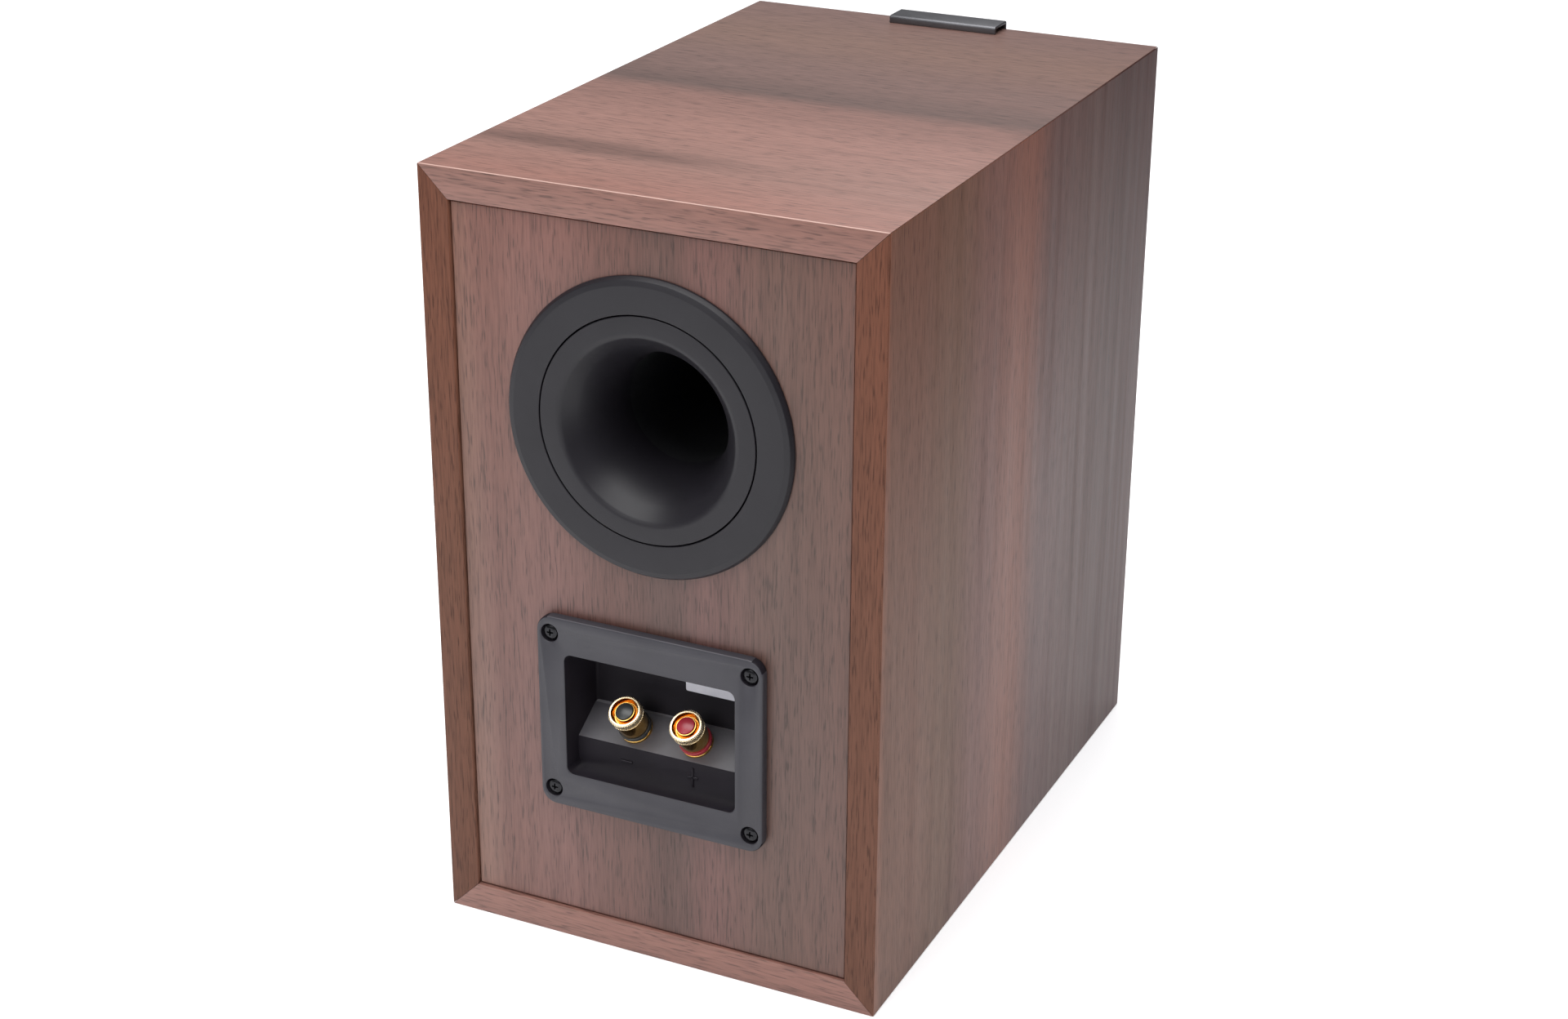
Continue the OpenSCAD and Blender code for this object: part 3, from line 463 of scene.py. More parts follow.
# bands are (place across the grain, colour): from the front edge to the rear edge
sideVinyl = walnutVinyl("walnutVinylSides", "Z", {
    **vinylValues, "across": "Y", "span": 274.0, "specular": 0.14,
    # on the sides the front bands are wood tone, darkened further towards the front edge by painted shade
    "bands": [(0.0, "#583632"), (0.15, "#54332e"), (0.27, "#684e4a"), (0.42, "#705552"), (0.54, "#946a5e"),
              (0.66, "#876760"), (0.78, "#806456"), (0.9, "#836356"), (0.98, "#836457"), (1.0, "#916958")],
    # painted reflection: the sides turn greyer towards the bottom and warmer towards the top
    "ends": (0, 301), "drift": [(0.0, "#f2eeee"), (0.5, "#f8f2f0"), (1.0, "#ffe6da")],
    "strip": {"Y": 136.7, "soft": 0.2, "colour": "#cbc4bf"},
})
levelVinyl = walnutVinyl("walnutVinylTop", "X", {
    **vinylValues, "across": "Y", "span": 274.0,
    "bands": [(0.0, "#7b5f58"), (0.2, "#7f6257"), (0.38, "#765c55"), (0.5, "#67514b"), (0.56, "#85635a"),
              (0.7, "#936e64"), (0.85, "#8f6c62"), (1.0, "#92695e")],
    "ends": (-90, 90), "drift": [(0.0, "#faf4f2"), (1.0, "#ffffff")],
    # painted highlight along the rear top edge
    "paintedArrisHighlight": {"Y": 136.6, "Z": 300.6, "soft": 0.3, "colour": "#d0aea2"},
    "smudge": {"place": (-0.55, -7.9, 0), "scale": (11.0, 85.0, 0.0), "stops": [(0.0, 1.0), (0.35, 0.62)]},
})
# from the red post's side to the black post's side
rearVinyl = walnutVinyl("walnutVinylRear", "Z", {
    **vinylValues, "across": "X", "span": 160.0,
    "bands": [(0.0, "#6f5046"), (0.2, "#6a4f46"), (0.36, "#75534d"), (0.46, "#644942"), (0.58, "#6f4e46"),
              (0.75, "#815c55"), (0.9, "#7e584f"), (1.0, "#896659")],
    "ends": (0, 301), "drift": [(0.0, "#fdfaf8"), (0.3, "#eff1f4"), (0.7, "#f0ece8"), (1.0, "#fff0e8")],
})


# Injection-moulded ABS from a spark-eroded tool: a fine even grain that breaks up highlights
def mouldedPlastic(name, colour, lighter, rough, grit, depth, specular=0.5):
    material, tree, shader = newMaterial(name, IOR=1.53, Specular_IOR_Level=specular)
    where = addNode(tree, "ShaderNodeTexCoord").outputs["Object"]
    cloud = noiseOf(tree, where, 18, 3.0)
    tree.links.new(rampOf(tree, cloud, [(0.3, colour), (0.7, lighter)]), shader.inputs["Base Color"])
    grain = noiseOf(tree, where, grit, 2.0)
    polish = ranged(tree, grain, To_Min=rough - 0.05, To_Max=rough + 0.07)
    tree.links.new(polish, shader.inputs["Roughness"])
    addBump(tree, shader, grain, 0.5, depth)
    return material


portPlastic = mouldedPlastic("mouldedPortAbs", "#1b191e", "#1f1d22", 0.4, 0.5, 0.02, 0.3)
cupPlastic = mouldedPlastic("sparkErodedCupAbs", "#323137", "#38373d", 0.5, 0.6, 0.05, 0.4)
# painted sheen: the shelf's coarse texture is real, its lighter colour stands in for the sheen it catches
shelfPlasticPaintedSheen = mouldedPlastic("coarseSparkCupAbsPaintedSheen", "#47454a", "#59575c", 0.42, 1.1, 0.09)
# painted shade: the hollow's walls are a darker colour than the face, standing in for the shade in the recess
smoothCupPlasticPaintedShade = mouldedPlastic("polishedCupAbsPaintedShade", "#1d1a1f", "#221f25", 0.5, 0.6, 0.01, 0.1)
tubePlastic = mouldedPlastic("extrudedTubeAbs", "#1c1c1e", "#212124", 0.5, 0.8, 0.02)
faceplatePlastic = mouldedPlastic("mouldedFaceplateAbs", "#1b1b1d", "#202023", 0.45, 0.5, 0.03)
blackCap = mouldedPlastic("mouldedBlackCap", "#2c2e2f", "#313334", 0.3, 0.4, 0.01)
redCap = mouldedPlastic("mouldedRedCap", "#9a2433", "#a32b39", 0.28, 0.4, 0.01)
trimRubber = mouldedPlastic("mouldedTrimRubber", "#1d1d1e", "#232324", 0.6, 0.5, 0.02)
surroundRubber = mouldedPlastic("butylSurround", "#151516", "#1b1b1c", 0.42, 1.2, 0.02)
foam = mouldedPlastic("closedCellFoam", "#1e1e1f", "#2a2a2b", 0.9, 0.8, 0.1)
nylon = mouldedPlastic("naturalNylon", "#d8d6cc", "#e0ded6", 0.4, 0.8, 0.01)
wirePvc = mouldedPlastic("pvcInsulation", "#8c1820", "#96202a", 0.4, 1.0, 0.01)
cement = mouldedPlastic("cementResistor", "#c9c6bd", "#d4d1c9", 0.8, 0.4, 0.05)
boardMask = mouldedPlastic("solderMask", "#14502c", "#1a5a33", 0.35, 1.0, 0.01)
blueFilm = mouldedPlastic("capacitorWrap", "#22406e", "#284878", 0.3, 2.0, 0.01)


# Metal with fine turning or brushing marks: small changes in roughness stretch its highlights
def workedMetal(name, colour, darker, rough, mark, stretch=(1, 1, 1), depth=0.004):
    material, tree, shader = newMaterial(name, Metallic=1.0)
    where = addNode(tree, "ShaderNodeTexCoord").outputs["Object"]
    lined = addNode(tree, "ShaderNodeMapping", {"Scale": stretch}, {"Vector": where})
    marks = noiseOf(tree, lined.outputs["Vector"], mark, 3.0)
    tree.links.new(rampOf(tree, marks, [(0.3, darker), (0.7, colour)]), shader.inputs["Base Color"])
    polish = ranged(tree, marks, To_Min=rough * 0.8, To_Max=rough * 1.3)
    tree.links.new(polish, shader.inputs["Roughness"])
    addBump(tree, shader, marks, 0.3, depth)
    return material


goldPlate = workedMetal("polishedGoldPlate", "#e9c078", "#dda94f", 0.12, 1.2)
# painted highlight: the knurled rim's paler colour stands in for its bright highlights
knurledGoldPaintedHighlight = workedMetal("knurledGoldPlatePaintedHighlight", "#f4e6cc", "#dcc69a", 0.26, 0.6)
clipMetal = workedMetal("anodisedClip", "#69696c", "#606063", 0.42, 0.5, (0.1, 1, 1))
zincSteel = workedMetal("zincPlatedSteel", "#b4b6b8", "#a2a4a7", 0.32, 1.5)
copper = workedMetal("enamelledCopper", "#b8642c", "#9c4f20", 0.3, 0.8)
castAluminium = workedMetal("coatedCastAluminium", "#3c3c3e", "#323234", 0.5, 1.5, depth=0.02)
nickel = workedMetal("nickelPlate", "#c6c3bb", "#b8b5ad", 0.2, 2.0)

# Black oxide on steel: dark and slightly glossy, so recesses read by their highlights
blackOxide, oxideTree, oxideShader = newMaterial("blackOxideSteel", Metallic=0.6)
oxideWhere = addNode(oxideTree, "ShaderNodeTexCoord").outputs["Object"]
oxideNoise = noiseOf(oxideTree, oxideWhere, 2 / 3, 2.0)
oxideColour = rampOf(oxideTree, oxideNoise, [(0.3, "#161618"), (0.7, "#28282c")])
oxideTree.links.new(oxideColour, oxideShader.inputs["Base Color"])
oxidePolish = ranged(oxideTree, oxideNoise, To_Min=0.14, To_Max=0.24)
oxideTree.links.new(oxidePolish, oxideShader.inputs["Roughness"])


# Cloth-like or fibrous stock, pressed or woven: crossed threads at their real pitch
def fibre(name, colour, darker, pitch, rough=0.9):
    material, tree, shader = newMaterial(name, Roughness=rough, Sheen_Weight=0.2)
    where = addNode(tree, "ShaderNodeTexCoord").outputs["Object"]
    warp, weft = [addNode(tree, "ShaderNodeTexWave", {"Scale": 1000 / pitch / 6.28, "Distortion": 1.5},
                          {"Vector": where}, bands_direction=axis) for axis in ("X", "Z")]
    cross = multiplied(tree, warp.outputs["Fac"], weft.outputs["Fac"])
    tree.links.new(rampOf(tree, cross, [(0.0, darker), (0.8, colour)]), shader.inputs["Base Color"])
    addBump(tree, shader, cross, 0.4, 0.08)
    return material


domeSilk = fibre("coatedSilk", "#2a2a2c", "#202022", 0.5, 0.55)
spiderCloth = fibre("resinedCloth", "#b08f3e", "#8e7130", 0.8)
felt = fibre("needledFelt", "#a4a49e", "#8b8b86", 1.6)


# Mottled sheet stock: fibreboard, paper pulp, ferrite or lacquer, told apart by scale and gloss
def mottled(name, colour, darker, size, rough, depth, **sockets):
    material, tree, shader = newMaterial(name, Roughness=rough, **sockets)
    where = addNode(tree, "ShaderNodeTexCoord").outputs["Object"]
    specks = noiseOf(tree, where, size, 5.0, Roughness=0.6)
    tree.links.new(rampOf(tree, specks, [(0.35, darker), (0.65, colour)]), shader.inputs["Base Color"])
    addBump(tree, shader, specks, 0.4, depth)
    return material


bareFibreboard = mottled("bareFibreboard", "#a8865e", "#8f7050", 1.5, 0.85, 0.05)
satinLacquer = mottled("satinBlackLacquer", "#1c1c1e", "#18181a", 1.2, 0.38, 0.02, Coat_Weight=0.2,
                       Coat_Roughness=0.3)
conePulp = mottled("coatedPaperPulp", "#2b2c2f", "#222326", 2.2, 0.55, 0.08)
ferrite = mottled("sinteredFerrite", "#3a3a3c", "#2e2e30", 1.0, 0.7, 0.03)
labelFilm = mottled("whiteLabelFilm", "#dcdce4", "#d4d4dd", 3.0, 0.4, 0.005)
print("materials are made")


# ---- cabinet ----

cabinet = {
    "edge": 0.7,  # the foil is folded tightly over the board's corners
    "endEdge": 0.45,
    "mitre": 0.07,  # how far each panel stays back from the mitre
    "panelEdge": 0.4,
    "panelGap": 0.5,  # the front and rear panels stop this far inside the boards around them
    "portHole": 44.0,
    "cupHole": (37.8, 27.7),  # half its width and height
}
boxLow, boxHigh = boxOf("side_panel_left", "side_panel_right")
wall = boxOf("side_panel_left")[1].x - boxLow.x
innerLow = Vector((boxLow.x + wall, 0, wall))
innerHigh = Vector((boxHigh.x - wall, 0, boxHigh.z - wall))


# pushes an outline drawn in X and Z along Y
def alongY(p, y):
    return (p[0], y, p[1])


def alongX(p, x):
    return (x, p[0], p[1])


# half of a rounded outer corner of the cabinet, from the mitre to one face
def cornerArc(corner, inward, radius, facesX, steps=4):
    centre = Vector(corner) + Vector(inward) * radius
    points = []
    for i in range(steps + 1):
        a = math.pi / 4 * (1 - i / steps)
        far, near = math.cos(a), math.sin(a)
        out = (far, near) if facesX else (near, far)
        points.append(centre - Vector((inward[0] * out[0], inward[1] * out[1])) * radius)
    return points


def sidePanel(side, node):
    x, inner = side * boxHigh.x, side * innerHigh.x
    inward = -side
    lower = cornerArc((x, 0), (inward, 1), cabinet["edge"], True)
    upper = cornerArc((x, boxHigh.z), (inward, -1), cabinet["edge"], True)[::-1]
    outline = lower + upper + [Vector((inner, innerHigh.z)), Vector((inner, innerLow.z))]
    return mitredPanel(outline, node, sideVinyl)


def levelPanel(z, inner, node):
    up = 1 if z == 0 else -1
    left = cornerArc((boxLow.x, z), (1, up), cabinet["edge"], False)
    right = cornerArc((boxHigh.x, z), (-1, up), cabinet["edge"], False)[::-1]
    outline = left + right + [Vector((innerHigh.x, inner)), Vector((innerLow.x, inner))]
    return mitredPanel(outline, node, levelVinyl)


def mitredPanel(outline, node, material):
    size = len(outline)
    weights = [1.0] * size
    weights[size - 3] = weights[size - 1] = 0.0
    backed = insetOutline(outline, [0.0] * (size - 3) + [cabinet["mitre"], 0.0, cabinet["mitre"]])
    panel = prism(node + ".board", backed, boxLow.y, boxHigh.y, alongY, cabinet["endEdge"], weights=weights)
    return finishPiece(panel, "cabinet", material, "walnut_vinyl", node, sharp=50)


sidePanel(-1, "side_panel_left")
sidePanel(1, "side_panel_right")
levelPanel(boxHigh.z, innerHigh.z, "top_panel")
levelPanel(0, innerLow.z, "bottom_panel")


def rectangle(low, high, corner, steps=6):
    return rounded([(low[0], low[1], corner), (high[0], low[1], corner), (high[0], high[1], corner),
                    (low[0], high[1], corner)], steps)


def slab(name, low, high, corner, edge, place, start, end):
    return prism(name, rectangle(low, high, corner), start, end, place, edge)


def plug(name, radius, centre, axis, low, high, count=96):
    return lathe(name, [(0, low), (radius, low), (radius, high), (0, high)], centre, axis, count)


rearLow, rearHigh = boxOf("rear_panel")
flangeLow, flangeHigh = boxOf("port_flange")
cupLow, cupHigh = boxOf("terminal_cup")
portCentre = Vector(((flangeLow.x + flangeHigh.x) / 2, rearHigh.y, (flangeLow.z + flangeHigh.z) / 2))
plateCentre = Vector((0, cupHigh.y, (cupLow.z + cupHigh.z) / 2))
gap = cabinet["panelGap"]
panelLow, panelHigh = (innerLow.x + gap, innerLow.z + gap), (innerHigh.x - gap, innerHigh.z - gap)
rearBoard = slab("rear_panel.board", panelLow, panelHigh, 0, cabinet["panelEdge"], alongY, rearLow.y, rearHigh.y)
portHole = plug("hole", cabinet["portHole"], portCentre, (0, 1, 0), -20, 5)
cupHoleX, cupHoleZ = cabinet["cupHole"]
cupHole = slab("hole", (-cupHoleX, plateCentre.z - cupHoleZ), (cupHoleX, plateCentre.z + cupHoleZ), 0, 0,
               alongY, rearLow.y - 5, rearHigh.y + 5)
cutBy(rearBoard, [portHole, cupHole])
finishPiece(rearBoard, "cabinet", rearVinyl, "walnut_vinyl", "rear_panel", sharp=50)
print("cabinet is built")


# ---- trim clip ----

clip = {"sheet": 1.2, "bend": 1.1, "innerBend": 0.2, "cutEdge": 0.3, "edge": 0.25}
clipLow, clipHigh = boxOf("trim_clip")
front = boxLow.y
sheet, clipBack, clipTop = clip["sheet"], clipHigh.y, clipHigh.z
bend, innerBend, cutEdge = clip["bend"], clip["innerBend"], clip["cutEdge"]
clipOutline = rounded([
    (clipBack, boxHigh.z, cutEdge), (clipBack, clipTop, bend), (front - sheet, clipTop, bend),
    (front - sheet, clipLow.z, cutEdge), (front, clipLow.z, cutEdge), (front, clipTop - sheet, innerBend),
    (clipBack - sheet, clipTop - sheet, innerBend), (clipBack - sheet, boxHigh.z, cutEdge),
], steps=5)
clipPiece = prism("trim_clip.sheet", clipOutline, clipLow.x, clipHigh.x, alongX, clip["edge"])
finishPiece(clipPiece, "cabinet", clipMetal, "clip_metal", "trim_clip")


# ---- bass port ----

port = {
    "bore": 22.0, "mouth": 34.9, "flare": 30.0, "face": 3.0, "joint": 42.6, "groove": 0.25,
    "grooveRound": 0.3, "spigot": 44.0, "spigotEnd": -8, "mouthRound": 3.4, "tubeOuter": 24.5,
    "socket": 24.6, "sleeve": 30.0, "sleeveLength": 10,
}
flangeR = (flangeHigh.x - flangeLow.x) / 2
swing = 2 * math.atan((port["mouth"] - port["bore"]) / port["flare"])
flareR = port["flare"] / math.sin(swing)
faceH, jointR = port["face"], port["joint"]
flareEnd = faceH - port["flare"]
spigotR, spigotEnd, grooveRound = port["spigot"], port["spigotEnd"], port["grooveRound"]
flangeBore, flareRim = jointR + port["groove"], jointR - port["groove"]
flange = rounded([
    (flangeBore, spigotEnd, 0), (spigotR, spigotEnd, 0), (spigotR, 0, 0), (flangeR, 0, 0),
    (flangeR, 0.9, 0.5), (flangeR - 1.0, faceH - 0.5, 0.7), (flangeR - 3.0, faceH, 1.0), (flangeBore, faceH, grooveRound),
], steps=6)
flangePiece = lathe("port_flange.trim", flange, portCentre, (0, 1, 0), 192)
finishPiece(flangePiece, "cabinet", portPlastic, "port_plastic", "port_flange")
throat = []
for i in range(25):
    a = swing * i / 24
    throat.append((port["bore"] + flareR * (1 - math.cos(a)), flareEnd + flareR * math.sin(a)))
mouthEnd = throat.pop()
sleeveR, sleeveEnd = port["sleeve"], flareEnd - port["sleeveLength"]
flareProfile = [(x, y, 0) for x, y in throat[:20]] + [
    (mouthEnd[0], mouthEnd[1], port["mouthRound"]), (flareRim, faceH, grooveRound), (flareRim, spigotEnd, 0),
    (spigotR, spigotEnd, 0), (spigotR, spigotEnd - 2, 0), (jointR, spigotEnd - 4, 0), (sleeveR, flareEnd, 0),
    (sleeveR, sleeveEnd, 0), (port["socket"], sleeveEnd, 0), (port["socket"], flareEnd, 0),
]
flareProfile = rounded(flareProfile, steps=8)
flarePiece = lathe("port_flare.moulding", flareProfile, portCentre, (0, 1, 0), 192)
finishPiece(flarePiece, "cabinet", portPlastic, "port_plastic", "port_flare")
tubeLow, tubeHigh = boxOf("port_tube")
tubeEnd = tubeLow.y - rearHigh.y
tubeR = port["tubeOuter"]
tube = [(port["bore"], tubeEnd), (port["bore"], flareEnd), (tubeR, flareEnd), (tubeR, tubeEnd)]
tubePiece = lathe("port_tube.tube", tube, portCentre, (0, 1, 0), 128)
finishPiece(tubePiece, "cabinet", tubePlastic, "tube_plastic", "port_tube")
print("port is built")


# ---- terminal panel ----

cup = {
    "corner": 6.0, "faceEdge": 0.9, "wide": 69.6, "high": 49.5, "draft": 2.0, "wall": 2.5,
    "backDepth": 20.4, "lowerDepth": 8.0, "shelfRise": 12.4, "mouthEdge": 0.5,
    "screwX": 40.7, "screwZ": 32.25, "boreR": 3.55, "boreDepth": 2.2, "boreLip": 0.35,
    "markLine": 0.8, "markOut": 1.2, "markHigh": 0.5, "backRound": 1.2, "hollowCorner": 3.0,
}
faceY = cupHigh.y
backY = faceY - cup["backDepth"]
lowerY = faceY - cup["lowerDepth"]
cupZ = plateCentre.z
floorZ, roofZ = cupZ - cup["high"] / 2, cupZ + cup["high"] / 2
shelfZ = floorZ + cup["shelfRise"]
postTurn = joints["positive_knob_turn"]
postAxis = Vector(postTurn["axis"])
shelfTop = shelfZ + (lowerY - backY) * postAxis.y / postAxis.z  # the posts stand square on the shelf
plate = slab("plate", (cupLow.x, cupLow.z), (cupHigh.x, cupHigh.z), cup["corner"], 0, alongY,
             rearHigh.y, faceY)
softenEdges(plate, cup["faceEdge"], 4, 50)
applied(plate)
halfW = cup["wide"] / 2 + cup["wall"]
drop = cup["wall"] * (1 - postAxis.y) / postAxis.z
shell = prism("shell", [
    (rearHigh.y + 0.5, roofZ + cup["wall"]), (backY - cup["wall"], roofZ + cup["wall"]),
    (backY - cup["wall"], shelfTop - drop), (lowerY - cup["wall"], shelfZ - drop),
    (lowerY - cup["wall"], floorZ - cup["wall"]), (rearHigh.y + 0.5, floorZ - cup["wall"]),
], -halfW, halfW, alongX)


# hollow with drafted walls, its mouth rounded outwards and its back corners inwards
def hollow():
    w, h = cup["wide"] / 2, cup["high"] / 2
    depth = faceY - backY
    rings = []
    for k in range(6):
        a = math.pi / 2 * k / 5
        flareOut = cup["mouthEdge"] * (1 - math.cos(a))
        rings.append((faceY - cup["mouthEdge"] * (1 - math.sin(a)), flareOut))
    rings = [(faceY - cup["mouthEdge"], 0.0)] + [(y, out) for y, out in rings if out > 0]
    levels = [(faceY + 1.0, rings[-1][1])] + rings[::-1]
    backRound = cup["backRound"]
    levels.append((backY + backRound, -cup["draft"] * (depth - backRound) / depth))
    for k in range(1, 5):
        a = math.pi / 2 * k / 4
        levels.append((backY + backRound * (1 - math.sin(a)), -cup["draft"] - backRound * (1 - math.cos(a))))
    points, size = [], 0
    for y, out in levels:
        low = (-w - out, -h - out * (1 if out > 0 else 0.5))
        high = (w + out, h + out * (1 if out > 0 else 0.5))
        outline = rectangle(low, high, cup["hollowCorner"] + out * 0.5, 8)
        size = len(outline)
        points += [(p.x, y, p.y + cupZ) for p in outline]
    return meshObject("hollow", points, ringFaces(size, len(levels)))


shelf = rounded([
    (faceY + 5, floorZ - 20, 0), (lowerY, floorZ - 20, 0), (lowerY, shelfZ, 0.6), (backY, shelfTop, 1.0),
    (backY - 30, shelfTop, 0), (backY - 30, floorZ - 20, 0),
], steps=5)
shelf = [p for p in shelf if p.x < faceY + 4]
shelfBlock = prism("shelf", shelf, -60, 60, alongX)
room = cutBy(hollow(), [shelfBlock])
union = plate.modifiers.new("shell", "BOOLEAN")
union.operation = "UNION"
union.solver = "EXACT"
union.object = shell
applied(plate)
bpy.data.objects.remove(shell)
bores = []
boreR, boreLip, boreDepth = cup["boreR"], cup["boreLip"], cup["boreDepth"]
boreOutline = rounded([
    (0, 1, 0), (boreR + boreLip, 1, 0), (boreR + boreLip, 0, 0), (boreR, -boreLip, 0.2),
    (boreR, -boreDepth, 0), (0, -boreDepth, 0),
])
screwPlaces = [Vector((x * cup["screwX"], faceY, cupZ + z * cup["screwZ"]))
               for x, z in ((-1, -1), (-1, 1), (1, -1), (1, 1))]
for place in screwPlaces:
    bores.append(lathe("bore", boreOutline, place, (0, 1, 0), 48))
cutBy(plate, [room] + bores)
posts = {
    "positive": Vector(joints["positive_knob_turn"]["pos_m"]) / mm,
    "negative": Vector(joints["negative_knob_turn"]["pos_m"]) / mm,
}
markZ = floorZ + cup["shelfRise"] * 0.5
marks = []
line = cup["markLine"] / 2
plus, bar = ((2.2, line), (line, 3.8)), ((2.5, line),)
for x, spans in ((posts["positive"].x - cup["markOut"], plus), (posts["negative"].x + cup["markOut"], bar)):
    for across, high in spans:
        marks.append(slab("mark", (x - across, markZ - high), (x + across, markZ + high), 0.15, 0.12, alongY,
                          lowerY - 0.2, lowerY + cup["markHigh"]))
cupPiece = joined("terminal_cup.moulding", [plate] + marks)
finishPiece(cupPiece, "cabinet", cupPlastic, "cup_plastic", "terminal_cup", sharp=40)
plateReach = Vector(((cupHigh.x - cupLow.x) / 2 - 0.5, (cupHigh.z - cupLow.z) / 2 - 0.5))
cupPiece.data.materials.append(smoothCupPlasticPaintedShade)  # the hollow's walls are smoother than the face, and painted darker as painted shade in the recess
cupPiece.data.materials.append(shelfPlasticPaintedSheen)  # the shelf has the coarsest spark texture, and its lighter colour is a painted sheen
# the hollow's walls take the darker material, a painted shade
for polygon in cupPiece.data.polygons:
    onFace = polygon.center.y > (faceY - cup["mouthEdge"] * 0.8) * mm
    onShelf = polygon.normal.dot(postAxis) > 0.95
    fromMiddle = abs(polygon.center.x), abs(polygon.center.z - cupZ * mm)
    outside = fromMiddle[0] > plateReach.x * mm or fromMiddle[1] > plateReach.y * mm
    # the shelf takes the lighter material, a painted sheen
    polygon.material_index = 2 if onShelf and not onFace else int(not onFace and not outside)

labelLow, labelHigh = boxOf("rating_label")
label = slab("rating_label.film", (labelLow.x, labelLow.z), (labelHigh.x, labelHigh.z), 0.8, 0.05, alongY,
             labelLow.y, labelHigh.y)
finishPiece(label, "cabinet", labelFilm, "label_film", "rating_label")


# cross recess with tapered wings and four short ticks between them
def crossCutter(place, axis, radius, depth):
    frameTurn = Matrix.Translation(Vector(place)) @ turnTo(axis)
    wings = []
    for turn in range(4):
        a = math.radians(90 * turn)
        along, across = Vector((math.cos(a), math.sin(a), 0)), Vector((-math.sin(a), math.cos(a), 0))
        half, tip = 0.42, 0.3
        top, low = Vector((0, 0, 0.6)), Vector((0, 0, -depth))
        topTip, lowTip = top + along * radius, low + along * radius * 0.35
        points = [top - across * half, topTip - across * tip, topTip + across * tip, top + across * half,
                  low - across * half * 0.6, lowTip - across * tip * 0.6, lowTip + across * tip * 0.6,
                  low + across * half * 0.6]
        points = [frameTurn @ (p + along * -0.2) for p in points]
        wings.append(meshObject("wing", points, [(0, 1, 2, 3), (4, 5, 6, 7), (0, 1, 5, 4), (1, 2, 6, 5),
                                                 (2, 3, 7, 6), (3, 0, 4, 7)]))
    return wings


def crossScrew(place, axis, headR, thick, shaft, shaftR):
    head = rounded([(0, 0.25, 0), (headR * 0.55, 0.2, 3.0), (headR, -0.25, 0.5), (headR, -thick, 0.15),
                    (shaftR, -thick, 0), (shaftR, -shaft, 0.3), (0, -shaft, 0)], steps=5)
    screw = lathe("screw", head, place, axis, 64)
    return cutBy(screw, crossCutter(Vector(place) + Vector(axis) * 0.1, axis, headR * 0.66, 1.3))


screwLow, screwHigh = boxOf("terminal_screws")
headTop = screwHigh.y - 0.3
screws = []
for place in screwPlaces:
    screws.append(crossScrew((place.x, headTop, place.z), (0, 1, 0), 2.9, 1.4, headTop - screwLow.y, 1.75))
screwPiece = joined("terminal_screws.set", screws)
finishPiece(screwPiece, "cabinet", blackOxide, "screw_black", "terminal_screws")
print("terminal panel is built")


# ---- binding posts ----

